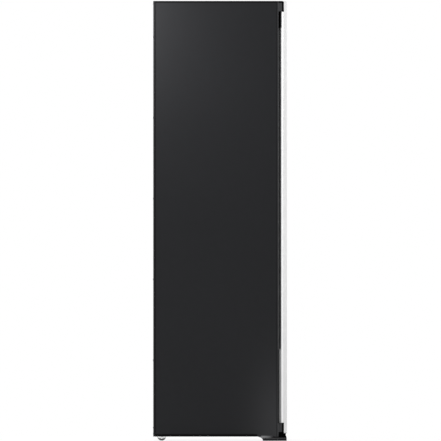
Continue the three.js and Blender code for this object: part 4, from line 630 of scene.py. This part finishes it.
# %% Water tanks
fill_line, half_line, tank_front = 0.318, 0.0006, -0.22
tank_wall = Finish("tank_plastic", (0.40, 0.44, 0.48), 0.16, Coat_Weight=0.4)
tank_cloud = tank_wall.noise(9.0, 3.0)
tank_shade = tank_wall.mix(tank_cloud, (0.34, 0.38, 0.42), (0.46, 0.50, 0.54))
water_line = (abs(tank_wall.z - fill_line) < half_line) * (tank_wall.y < tank_front)
tank_wall.set("Base Color", tank_wall.mix(water_line, tank_shade, (0.9, 0.91, 0.92)))
tank_wall.set("Roughness", (tank_cloud * 0.12 + 0.10).clamped())
finish_nodes(tank_wall, "supply_tank", "drain_tank")

# %% [markdown]
# The chamber's lamp has a milky lens with fine prism lines that glow softly.
# The lines repeat along X, so a wave of the place gives their colour, their glow and their bump at once.

# %% Lamp lens
prisms = 180.0
lamp_lens = Finish("milky_lens", (0.86, 0.85, 0.80), 0.32, Emission_Strength=0.15)
prism_lines = abs(((lamp_lens.x * prisms) % 1.0) - 0.5)
lamp_lens.set("Base Color", lamp_lens.mix(prism_lines * 2.0, (0.80, 0.79, 0.74), (0.90, 0.89, 0.85)))
lamp_lens.set("Emission Color", lamp_lens.mix(prism_lines * 2.0, (0.8, 0.78, 0.7), (1.0, 0.98, 0.92)))
lamp_lens.bump(prism_lines, 0.3, 0.0006)
finish_nodes(lamp_lens, "interior_lamp")

# %% [markdown]
# The rear rollers are white plastic wheels, and a ring of painted shade darkens the lower half of each
# wheel's face.
# They stand in the cabinet's shadow and yet look white in the photograph, because the floor throws light
# up at them, so a weak emission helps them. A distance from the axle tells the tread from the face.

# %% Rear rollers
roller_low, roller_high = [Vector(corner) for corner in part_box("rear_roller_left")]
axle_y, axle_z = (roller_low.y + roller_high.y) / 2, (roller_low.z + roller_high.z) / 2
tread_radius, hub_radius = 0.0178, 0.0092
shade_top, shade_fade = 0.0185, 0.008
painted_floor_light = 0.45
# Painted light: the wheels glow a little, standing in for light from the floor.
roller_plastic = Finish("roller_plastic", (0.80, 0.80, 0.79), 0.42, Emission_Strength=painted_floor_light)
from_axle = ((roller_plastic.y - axle_y) ** 2.0 + (roller_plastic.z - axle_z) ** 2.0) ** 0.5
lower_half = ((shade_top - roller_plastic.z) / shade_fade).clamped()
# Painted shade in a ring on the lower half of the wheel's face, dimming its glow too.
underside_shade = from_axle.between(hub_radius, tread_radius) * lower_half
tread = from_axle > tread_radius
scuffs = roller_plastic.noise(240.0, 4.0)
wheel_face = roller_plastic.mix(scuffs, (0.84, 0.84, 0.83), (0.94, 0.94, 0.93))
tyre = roller_plastic.mix(tread, wheel_face, (0.78, 0.78, 0.775))
roller_plastic.set("Base Color", roller_plastic.mix(underside_shade, tyre, (0.06, 0.06, 0.061)))
roller_plastic.set("Roughness", (scuffs * 0.2 + 0.34).clamped())
roller_plastic.bump(scuffs, 0.15, 0.0002)
painted_glow = roller_plastic.mix(tread, (1.0, 1.0, 1.0), (0.3, 0.3, 0.3))
roller_plastic.set("Emission Color", roller_plastic.mix(underside_shade, painted_glow, (0.08, 0.08, 0.08)))
finish_nodes(roller_plastic, "rear_roller_left", "rear_roller_right")

bracket_plastic = moulded("bracket_plastic", (0.86, 0.86, 0.85), (0.94, 0.94, 0.93), 0.4)
# Painted light: the brackets glow a little, standing in for light from the floor.
bracket_plastic.set("Emission Color", (1.0, 1.0, 1.0, 1.0))
bracket_plastic.set("Emission Strength", painted_floor_light)
finish_nodes(bracket_plastic, "roller_bracket_left", "roller_bracket_right")

# %% [markdown]
# The control board is a green lacquered card with copper tracks under the lacquer and black parts on it.
# Stripes cut by a noise look like tracks, and everything higher than the card is a part.

# %% Circuit card
card_top, track_pitch = 1.8515, 140.0
card_lacquer = Finish("circuit_card", (0.02, 0.11, 0.05), 0.35, Coat_Weight=0.3)
tracks = (((card_lacquer.x * track_pitch) % 1.0) < 0.35) * (card_lacquer.noise(60.0, 1.0) > 0.5)
card_face = card_lacquer.mix(tracks, (0.012, 0.085, 0.035), (0.05, 0.19, 0.09))
on_card = card_lacquer.z > card_top
card_lacquer.set("Base Color", card_lacquer.mix(on_card, card_face, (0.014, 0.014, 0.016)))
card_lacquer.set("Roughness", tracks * 0.1 + 0.32)
finish_nodes(card_lacquer, "control_board")

# %% [markdown]
# The finer pieces are modelled with the same tools as by hand: add a primitive, go to edit mode,
# pick faces by their place, then inset, extrude or fatten them, and apply the modifiers.
# These helpers do the picking and the tidy ending, so each piece below reads as its own few steps.

# %% Modelling helpers
smooth_angle = math.radians(35)


def apply_place(piece):
    """Moves a piece's place into its mesh, so that its object sits at the origin."""
    bpy.ops.object.select_all(action='DESELECT')
    piece.select_set(True)
    bpy.context.view_layer.objects.active = piece
    bpy.ops.object.transform_apply(location=True, rotation=True, scale=True)


def pick(piece, wanted, kind='FACE'):
    """Selects the faces or corners of the piece in edit mode for which wanted is true."""
    bpy.ops.mesh.select_mode(type=kind)
    bpy.ops.mesh.select_all(action='DESELECT')
    mesh = bmesh.from_edit_mesh(piece.data)
    for part in (mesh.faces if kind == 'FACE' else mesh.verts):
        part.select = bool(wanted(part))
    mesh.select_flush_mode()
    bmesh.update_edit_mesh(piece.data)


def add_modifier(piece, kind, **settings):
    """Adds a modifier and applies it at once."""
    bpy.context.view_layer.objects.active = piece
    modifier = piece.modifiers.new(kind.title(), kind)
    for name, value in settings.items():
        setattr(modifier, name, value)
    bpy.ops.object.modifier_apply(modifier=modifier.name)


# %% [markdown]
# A finished piece gets its name, its finish and the body that it rides on, so that it moves with its joint.
# What repeats on the real cabinet is modelled once and copied, each copy with a mesh of its own.

# %% Finish and copy a piece
def finish_piece(piece, name, body, finish):
    """Names a finished piece, gives it its finish and lets it ride on its body."""
    apply_place(piece)
    bpy.ops.object.shade_smooth_by_angle(angle=smooth_angle)
    piece.name = name
    piece.data.name = name
    piece.data.materials.clear()
    piece.data.materials.append(finish.material)
    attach(piece, body)
    print(name, "faces", len(piece.data.polygons))


def copy_to(piece, name, offset, body, finish):
    """Copies a piece with its own mesh, shifted inside the mesh."""
    twin = piece.copy()
    twin.data = piece.data.copy()
    twin.parent = None
    bpy.context.scene.collection.objects.link(twin)
    twin.location = offset
    finish_piece(twin, name, body, finish)


# %% [markdown]
# The door's seal is a soft bellows that runs round the opening, and it stands for the plain CAD seal, in
# the same box. A sweep along the opening would pinch at the corners. So a plane is inset and its middle
# deleted, which leaves a flat ring, and the ring is extruded in short steps.

# %% Door seal
seal_low, seal_high = [Vector(corner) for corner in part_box("door_gasket")]
seal_middle = (seal_low + seal_high) / 2
seal_size = seal_high - seal_low
seal_width = 0.0145
bpy.ops.mesh.primitive_plane_add(size=1, location=(seal_middle.x, seal_low.y, seal_middle.z),
                                 rotation=(math.radians(90), 0, 0))
seal = bpy.context.object
seal.scale = (seal_size.x, seal_size.z, 1)
apply_place(seal)
bpy.ops.object.mode_set(mode='EDIT')
bpy.ops.mesh.select_all(action='SELECT')
bpy.ops.mesh.inset(thickness=seal_width, depth=0)
bpy.ops.mesh.delete(type='FACE')
bpy.ops.mesh.select_all(action='SELECT')
seal_steps = [0.0018, 0.0016, 0.0012, 0.0012, 0.0016]
seal_steps.append(seal_size.y - sum(seal_steps))
for step in seal_steps:
    bpy.ops.mesh.extrude_region_move(TRANSFORM_OT_translate={"value": (0, step, 0)})
    reached = max(corner.co.y for corner in bmesh.from_edit_mesh(seal.data).verts)
    pick(seal, lambda face: abs(face.calc_center_median().y - reached) < 1e-5 and abs(face.normal.y) > 0.9)
bpy.ops.mesh.select_all(action='SELECT')
bpy.ops.mesh.normals_make_consistent(inside=False)
bpy.ops.object.mode_set(mode='OBJECT')
print("seal ring", len(seal.data.polygons), "faces")

# %% [markdown]
# Between its two lips the seal has a thin waist, where it folds when the door shuts.
# The corners of the middle steps are pulled in with shrink/fatten, because scaling them would move the
# long sides more than the short ones. A small bevel then softens the lips.

# %% Waist of the seal
waist_depth, seal_edge = 0.0034, 0.0005
waist_low = seal_low.y + seal_steps[0] + seal_steps[1] * 0.5
waist_high = seal_low.y + sum(seal_steps[:4]) + seal_steps[4] * 0.5
bpy.ops.object.mode_set(mode='EDIT')
pick(seal, lambda corner: waist_low < corner.co.y < waist_high, 'VERT')
bpy.ops.transform.shrink_fatten(value=-waist_depth, use_even_offset=True)
bpy.ops.object.mode_set(mode='OBJECT')
add_modifier(seal, 'BEVEL', width=seal_edge, segments=2, limit_method='ANGLE', angle_limit=math.radians(30))
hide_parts("door_gasket")
finish_piece(seal, "door_seal", "door", rubber)

# %% [markdown]
# The back cover is held by pan-head screws along its rim. Their heads are short cylinders with a raised
# crown, and a cross is cut into each. The cross could be drawn on as a mask, but a driver's recess catches
# light inside, so two crossed bars are cut out by a boolean, which is applied so that only mesh is left.

# %% One back screw
screw_radius, screw_rise = 0.0042, 0.0011
crown_rim, crown_rise = 0.0011, 0.0004
recess_length, recess_depth, recess_width = 0.0042, 0.0016, 0.0009
screw_steel = drawn_metal("screw_steel", (0.30, 0.30, 0.31), all_ways, 0.36)
bpy.ops.mesh.primitive_cylinder_add(vertices=20, radius=screw_radius, depth=screw_rise * 2,
                                    location=(0, 0, 0), rotation=(math.radians(-90), 0, 0))
screw = bpy.context.object
apply_place(screw)
bpy.ops.object.mode_set(mode='EDIT')
pick(screw, lambda face: face.normal.y > 0.9)
bpy.ops.mesh.inset(thickness=crown_rim, depth=crown_rise)
bpy.ops.object.mode_set(mode='OBJECT')
bpy.ops.mesh.primitive_cube_add(size=1, location=(0, screw_rise + crown_rise, 0))
cross_bar = bpy.context.object
cross_bar.scale = (recess_length, recess_depth, recess_width)
apply_place(cross_bar)
bpy.ops.object.mode_set(mode='EDIT')
bpy.ops.mesh.select_all(action='SELECT')
bpy.ops.mesh.duplicate()
bpy.ops.transform.rotate(value=math.radians(90), orient_axis='Y', center_override=(0, 0, 0))
bpy.ops.object.mode_set(mode='OBJECT')
add_modifier(screw, 'BOOLEAN', object=cross_bar, operation='DIFFERENCE', solver='EXACT', use_self=True)
bpy.data.objects.remove(cross_bar)

# %% [markdown]
# Fourteen screws stand in two rows along the cover's sides, and six hold its head and foot.
# The first one is set in its place, and the others are copies of it, shifted by the step between places.

# %% Rows of back screws
rim_inset = 0.0062
screw_x = cad_high[0] - rim_inset
side_heights = (0.06, 0.36, 0.72, 1.08, 1.44, 1.80, 1.945)
between_sides, foot_and_head = (-0.15, 0.0, 0.15), (0.0305, 1.9535)
screw_spots = [(side * screw_x, z) for side in (-1, 1) for z in side_heights]
screw_spots += [(x, z) for x in between_sides for z in foot_and_head]
first_x, first_z = screw_spots[0]
screw.location = (first_x, cad_high[1], first_z)
finish_piece(screw, "back_screw_1", "cabinet", screw_steel)
for number, (x, z) in enumerate(screw_spots[1:], 2):
    copy_to(screw, f"back_screw_{number}", (x - first_x, 0, z - first_z), "cabinet", screw_steel)

# %% [markdown]
# The mains inlet in the back is a recess with three flat blades. Each blade is a small block whose outer
# face is extruded once more and drawn in, so that a plug would find its way. The middle one sits lower.
# A bevel alone would round the tip evenly, but a real blade tapers more in its thickness.

# %% Inlet blades
blade_y = 0.2895
blade_size, blade_tip, blade_edge = (0.0021, 0.0118, 0.0062), 0.0012, 0.0003
tip_taper = (0.5, 1, 0.75)
blade_metal = drawn_metal("blade_brass", (0.62, 0.58, 0.50), (1.0, 0.03, 1.0), 0.30)
blade_spots = [(-0.209, 0.0875), (-0.191, 0.0875), (-0.200, 0.0805)]
first_x, first_z = blade_spots[0]
bpy.ops.mesh.primitive_cube_add(size=1, location=(first_x, blade_y, first_z))
blade = bpy.context.object
blade.scale = blade_size
apply_place(blade)
bpy.ops.object.mode_set(mode='EDIT')
pick(blade, lambda face: face.normal.y > 0.9)
bpy.ops.mesh.extrude_region_move(TRANSFORM_OT_translate={"value": (0, blade_tip, 0)})
bpy.ops.transform.resize(value=tip_taper)
bpy.ops.object.mode_set(mode='OBJECT')
add_modifier(blade, 'BEVEL', width=blade_edge, segments=2, limit_method='ANGLE')
finish_piece(blade, "inlet_blade_1", "cabinet", blade_metal)
for number, (x, z) in enumerate(blade_spots[1:], 2):
    copy_to(blade, f"inlet_blade_{number}", (x - first_x, 0, z - first_z), "cabinet", blade_metal)

# %% [markdown]
# The lint filter has a woven screen in its basket. An image of a mesh would look flat from the side, so a
# fine grid becomes wire with the Wireframe modifier: one flat primitive gives both directions of wire.
# The grid lies just over the basket's floor.

# %% Lint screen
filter_low, filter_high = [Vector(corner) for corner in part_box("lint_filter")]
screen_middle = (filter_low + filter_high) / 2
screen_rise, basket_walls, wire = 0.0034, 0.0185, 0.0009
bpy.ops.mesh.primitive_grid_add(x_subdivisions=42, y_subdivisions=14, size=1,
                                location=(screen_middle.x, screen_middle.y, filter_low.z + screen_rise))
screen = bpy.context.object
filter_size = filter_high - filter_low
screen.scale = (filter_size.x - basket_walls, filter_size.y - basket_walls, 1)
apply_place(screen)
add_modifier(screen, 'WIREFRAME', thickness=wire, use_boundary=True, use_even_offset=True)
screen_wire = drawn_metal("screen_wire", (0.48, 0.48, 0.49), all_ways, 0.34)
finish_piece(screen, "lint_screen", "lint_filter", screen_wire)

# %% [markdown]
# The chamber's rear wall is stiffened by pressed ribs, and steam runs down between them.
# One rib is a block whose face is inset and pushed forward, so its sides slope like a pressing, and is
# then bevelled. Seven of them stand in a row between the shelf and the hangers.

# %% Rear wall ribs
liner_wall, rib_sink = 0.0025, 0.0002
wall_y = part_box("chamber_liner")[1][1] - liner_wall
rib_y = wall_y - rib_sink
rib_low, rib_high, rib_width, rib_base = 0.545, 1.545, 0.030, 0.0008
rib_slope, rib_rise, rib_edge = 0.005, 0.0034, 0.0016
first_rib_x, rib_pitch, rib_count = -0.195, 0.065, 7
bpy.ops.mesh.primitive_cube_add(size=1, location=(first_rib_x, rib_y, (rib_low + rib_high) / 2))
rib = bpy.context.object
rib.scale = (rib_width, rib_base, rib_high - rib_low)
apply_place(rib)
bpy.ops.object.mode_set(mode='EDIT')
pick(rib, lambda face: face.normal.y < -0.9)
bpy.ops.mesh.inset(thickness=rib_slope, depth=rib_rise)
bpy.ops.object.mode_set(mode='OBJECT')
add_modifier(rib, 'BEVEL', width=rib_edge, segments=3, limit_method='ANGLE', angle_limit=math.radians(20))
finish_piece(rib, "wall_rib_1", "cabinet", liner_plastic)
for number in range(1, rib_count):
    offset = (number * rib_pitch, 0, 0)
    copy_to(rib, f"wall_rib_{number + 1}", offset, "cabinet", liner_plastic)

# %% [markdown]
# Each water tank is closed by a screw cap with finger ridges. The cap starts as a drum with many sides,
# every second side is pushed in to make the ridges, and the lid is inset so that it carries a shallow dish.
# A cap stands just over its neck, inside the space that the tank has.

# %% Tank caps
cap_sides, cap_radius, cap_height = 48, 0.0252, 0.0085
cap_sink, handle_depth = 0.0035, 0.024
groove_slope, groove_depth = 0.0004, 0.0011
lid_rim, lid_rise, dish_slope, dish_depth = 0.0022, 0.0008, 0.0040, 0.0022
cap_plastic = moulded("cap_plastic", (0.08, 0.085, 0.09), (0.11, 0.115, 0.12), 0.45)


def every_second_side(face):
    if abs(face.normal.z) > 0.5:
        return False
    turn = math.atan2(face.normal.y, face.normal.x) / math.tau * cap_sides
    return round(turn - 0.5) % 2 == 0


def tank_cap(name, tank):
    low, high = [Vector(corner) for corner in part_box(tank)]
    middle = ((low.x + high.x) / 2, (low.y + handle_depth + high.y) / 2, high.z - cap_sink)
    bpy.ops.mesh.primitive_cylinder_add(vertices=cap_sides, radius=cap_radius, depth=cap_height,
                                        location=middle)
    cap = bpy.context.object
    apply_place(cap)
    bpy.ops.object.mode_set(mode='EDIT')
    pick(cap, every_second_side)
    bpy.ops.mesh.inset(thickness=groove_slope, depth=-groove_depth, use_individual=True)
    pick(cap, lambda face: face.normal.z > 0.9 and len(face.verts) > 8)
    bpy.ops.mesh.inset(thickness=lid_rim, depth=lid_rise)
    bpy.ops.mesh.inset(thickness=dish_slope, depth=-dish_depth)
    bpy.ops.object.mode_set(mode='OBJECT')
    finish_piece(cap, name, tank, cap_plastic)


tank_cap("supply_tank_cap", "supply_tank")
tank_cap("drain_tank_cap", "drain_tank")

# %% [markdown]
# Garment hangers carry a soft grip strip on each shoulder, so clothes don't slip while they shake.
# The strip's fine ridges run across it, too small for mesh, so they are a wave on Y in bump, and in colour as
# painted shade in the valleys and painted light on the crests.

# %% Grip rubber
grip_ridges_per_metre = 300.0
grip_rubber = Finish("grip_rubber", (0.055, 0.056, 0.058), 0.8, Specular_IOR_Level=0.3)
grip_ridges = abs(((grip_rubber.y * grip_ridges_per_metre) % 1.0) - 0.5)
# Painted shade in the valleys between ridges and painted light on their crests.
ridge_shading = grip_rubber.mix(grip_ridges * 2.0, (0.035, 0.0355, 0.037), (0.075, 0.076, 0.079))
grip_rubber.set("Base Color", ridge_shading)
grip_rubber.bump(grip_ridges, 0.5, 0.0008)

# %% [markdown]
# A strip is a bent ribbon. It could be a bevelled curve, but a ribbon that follows the hanger's own
# shoulder lies flat on it: a narrow plane is extruded step by step along the shoulder, then thickened.

# %% Hanger grips
hanger_middle_y = 0.02
shoulder_start = Vector((0.035, 1.662))
shoulder_bend = Vector((0.134, 1.647))
shoulder_end = Vector((0.210, 1.594))
grip_from, grip_share, grip_steps = 0.30, 0.05, 12
grip_width, grip_start_length, grip_lift = 0.0105, 0.001, 0.0003
grip_thick, grip_edge = 0.0012, 0.0003


def shoulder(share):
    """A point on the hanger's shoulder, as distance from the hanger's middle and height."""
    rest = 1 - share
    return shoulder_start * rest ** 2 + shoulder_bend * (2 * share * rest) + shoulder_end * share ** 2


def grip_strip(name, hanger, side):
    low, high = [Vector(corner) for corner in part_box(hanger)]
    bpy.ops.mesh.primitive_plane_add(size=1, location=((low.x + high.x) / 2, 0, 0))
    strip = bpy.context.object
    strip.scale = (grip_width, grip_start_length, 1)
    apply_place(strip)
    bpy.ops.object.mode_set(mode='EDIT')
    bpy.ops.mesh.select_all(action='SELECT')
    spot = shoulder(grip_from)
    start = (0, hanger_middle_y + side * (spot.x - hanger_middle_y), spot.y + grip_lift)
    bpy.ops.transform.translate(value=start)
    outermost = max if side > 0 else min
    edge = outermost(corner.co.y for corner in bmesh.from_edit_mesh(strip.data).verts)
    pick(strip, lambda corner: abs(corner.co.y - edge) < 1e-6, 'VERT')
    for step in range(1, grip_steps + 1):
        target = shoulder(grip_from + grip_share * step)
        move = (0, side * (target.x - spot.x), target.y - spot.y)
        bpy.ops.mesh.extrude_region_move(TRANSFORM_OT_translate={"value": move})
        spot = target
    bpy.ops.mesh.select_all(action='SELECT')
    bpy.ops.mesh.normals_make_consistent(inside=False)
    bpy.ops.object.mode_set(mode='OBJECT')
    add_modifier(strip, 'SOLIDIFY', thickness=grip_thick, offset=0.0)
    add_modifier(strip, 'BEVEL', width=grip_edge, segments=2, limit_method='ANGLE',
                 angle_limit=math.radians(50))
    finish_piece(strip, name, hanger, grip_rubber)


for number in (1, 2):
    for side, word in ((-1, "front"), (1, "rear")):
        grip_strip(f"hanger_{number}_grip_{word}", f"garment_hanger_{number}", side)

# %% [markdown]
# Each rear roller turns on an axle that is held by a domed push nut at its outer end.
# The nut is a low cone: a thin disc whose outer face is inset for the rim, and inset again and drawn out
# for the dome. A half sphere would be rounder, but a pressed nut this small has just these two steps.

# %% Axle nuts
nut_radius, nut_thick = 0.0052, 0.0008
nut_rim, dome_slope, dome_rise = 0.0012, 0.0014, 0.0012
nut_steel = drawn_metal("nut_steel", (0.80, 0.80, 0.80), (0.03, 1.0, 1.0), 0.3)


def axle_nut(name, bracket, side):
    low, high = [Vector(corner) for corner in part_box(bracket)]
    face_x = low.x if side < 0 else high.x
    middle = (face_x + side * nut_thick / 2, (low.y + high.y) / 2, axle_z)
    bpy.ops.mesh.primitive_cylinder_add(vertices=24, radius=nut_radius, depth=nut_thick, location=middle,
                                        rotation=(0, math.radians(90 * side), 0))
    nut = bpy.context.object
    apply_place(nut)
    bpy.ops.object.mode_set(mode='EDIT')
    pick(nut, lambda face: face.normal.x * side > 0.9)
    bpy.ops.mesh.inset(thickness=nut_rim, depth=0.0)
    bpy.ops.mesh.inset(thickness=dome_slope, depth=dome_rise)
    bpy.ops.object.mode_set(mode='OBJECT')
    finish_piece(nut, name, "cabinet", nut_steel)


for bracket, side in (("roller_bracket_left", -1), ("roller_bracket_right", 1)):
    axle_nut(bracket.replace("roller_bracket", "axle_nut"), bracket, side)

# %% [markdown]
# The drive belt carries small cross ridges where it bends round the large pulley, and its two straight
# runs are smooth. One ridge is a thin wedge, and copies of it stand round the outside of that bend.
# An Array modifier along a curve would do it too, but turning each copy by its angle needs no curve.

# %% Belt ridges
ridge_rise, ridge_width, belt_margin = 0.0004, 0.0022, 0.0008
tip_shares = (1, 0.5, 0.9)
ridge_count, first_turn, turn_step = 21, 90, 9
belt_low, belt_high = [Vector(corner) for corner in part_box("drive_belt")]
belt_middle = (belt_low + belt_high) / 2
bend_radius = (belt_high.y - belt_low.y) / 2
bpy.ops.mesh.primitive_cube_add(size=1, location=(0, 0, 0))
ridge = bpy.context.object
ridge.scale = (ridge_rise, ridge_width, belt_high.z - belt_low.z - belt_margin)
apply_place(ridge)
bpy.ops.object.mode_set(mode='EDIT')
pick(ridge, lambda face: face.normal.x > 0.9)
bpy.ops.transform.resize(value=tip_shares)
bpy.ops.object.mode_set(mode='OBJECT')
ridges = []
for number in range(ridge_count):
    turn = math.radians(first_turn + number * turn_step)
    twin = ridge.copy()
    twin.data = ridge.data.copy()
    bpy.context.scene.collection.objects.link(twin)
    out_x, out_y = math.cos(turn) * bend_radius, math.sin(turn) * bend_radius
    twin.location = (out_x, belt_middle.y + out_y, belt_middle.z)
    twin.rotation_euler = (0, 0, turn)
    ridges.append(twin)
bpy.data.objects.remove(ridge)
bpy.ops.object.select_all(action='DESELECT')
for twin in ridges:
    twin.select_set(True)
bpy.context.view_layer.objects.active = ridges[0]
bpy.ops.object.join()
finish_piece(bpy.context.object, "belt_ridges", "cabinet", rubber)

# %% [markdown]
# The studio is white all round. A backdrop of mesh would need its own lamps. Instead Light Path makes the
# world plain white to the camera and in mirrors, while it lights matte paint at a quieter level, so dark
# paint stays dark.

# %% World
matte_level, seen_level = 0.68, 1.0
world = bpy.data.worlds.new("studio_world")
bpy.context.scene.world = world
world.use_nodes = True
world_tree = world.node_tree
background = world_tree.nodes["Background"]
path = world_tree.nodes.new("ShaderNodeLightPath")
seen = world_tree.nodes.new("ShaderNodeMath")
seen.operation = 'SUBTRACT'
seen.inputs[0].default_value = 1.0
world_tree.links.new(path.outputs["Is Diffuse Ray"], seen.inputs[1])
level = world_tree.nodes.new("ShaderNodeMapRange")
level.inputs["To Min"].default_value = matte_level
level.inputs["To Max"].default_value = seen_level
world_tree.links.new(seen.outputs[0], level.inputs["Value"])
world_tree.links.new(level.outputs[0], background.inputs["Strength"])
background.inputs["Color"].default_value = (1, 1, 1, 1)
print("world", matte_level, "on matte paint,", seen_level, "as seen")

# %% [markdown]
# The floor is white card. Near the cabinet a small part of it is real card, so a soft shadow stays, and
# the rest is plain white to the camera. Further out all of it is, so the floor has no visible end.

# %% Floor
floor_size, floor_sink = 7.0, 0.0004
fade_start, fade_length, plain_near = 0.5, 1.3, 0.90
bpy.ops.mesh.primitive_plane_add(size=floor_size, location=(0, 0, -floor_sink))
floor = bpy.context.object
floor.name = "studio_floor"
floor_finish = Finish("studio_floor", (0.97, 0.97, 0.97), 0.9, Specular_IOR_Level=0.1)
floor_path = floor_finish.tree.nodes.new("ShaderNodeLightPath")
plain_white = floor_finish.tree.nodes.new("ShaderNodeEmission")
floor_blend = floor_finish.tree.nodes.new("ShaderNodeMixShader")
from_middle = (floor_finish.x ** 2.0 + floor_finish.y ** 2.0) ** 0.5
far_out = ((from_middle - fade_start) / fade_length).clamped()
plain_share = far_out * (1.0 - plain_near) + plain_near
to_camera = Value(floor_finish, floor_path.outputs["Is Camera Ray"])
floor_finish.put(floor_blend.inputs[0], to_camera * plain_share)
floor_finish.tree.links.new(floor_finish.shader.outputs[0], floor_blend.inputs[1])
floor_finish.tree.links.new(plain_white.outputs[0], floor_blend.inputs[2])
floor_output = floor_finish.tree.nodes["Material Output"]
floor_finish.tree.links.new(floor_blend.outputs[0], floor_output.inputs["Surface"])
floor.data.materials.append(floor_finish.material)
print("floor", floor_size, "m wide")

# %% [markdown]
# Large soft lamps stand round the cabinet. The photograph's side panel is brighter at its top rear corner,
# so a narrow lamp stands close to that corner. A faint one stands by the front foot, whose sheen is mostly
# painted into the coat's colour. The other side gets the same lamps, because the object is looked at all
# round.

# %% Lamps
def soft_lamp(name, place, aim, size, power):
    data = bpy.data.lights.new(name, 'AREA')
    data.shape = 'RECTANGLE'
    data.size, data.size_y = size
    data.energy = power
    lamp = bpy.data.objects.new(name, data)
    bpy.context.scene.collection.objects.link(lamp)
    lamp.visible_camera = False
    lamp.location = place
    lamp.rotation_euler = (Vector(aim) - Vector(place)).to_track_quat('-Z', 'Y').to_euler()
    print(name, power, "W")


for side, word in ((-1, "left"), (1, "right")):
    soft_lamp(f"{word}_high_rear", place=(side * 0.86, 0.56, 2.05), aim=(side * 0.3, 0.50, 1.98),
              size=(0.15, 0.8), power=11.5)
    soft_lamp(f"{word}_low_front", place=(side * 0.95, -0.40, 0.10), aim=(side * 0.3, -0.38, 0.12),
              size=(0.2, 0.3), power=0.15)
    soft_lamp(f"{word}_rim", place=(side * 2.2, 2.2, 1.2), aim=(side * 0.29, -0.25, 1.0),
              size=(0.8, 2.0), power=22)
soft_lamp("front_wall", place=(0.6, -4.2, 1.6), aim=(0, -0.3, 1.0), size=(3.0, 2.4), power=16)
soft_lamp("back_wall", place=(-0.6, 4.2, 1.8), aim=(0, 0.3, 1.0), size=(3.0, 2.4), power=34)
soft_lamp("ceiling", place=(0, 0, 4.4), aim=(0, 0, 0), size=(3.0, 3.0), power=44)

# %% [markdown]
# The picture uses the Standard view, so a colour comes out about as it is written.
# The last lines set that view and clear the selection.

# %% View and selection
bpy.context.scene.view_settings.view_transform = 'Standard'
bpy.ops.object.select_all(action='DESELECT')
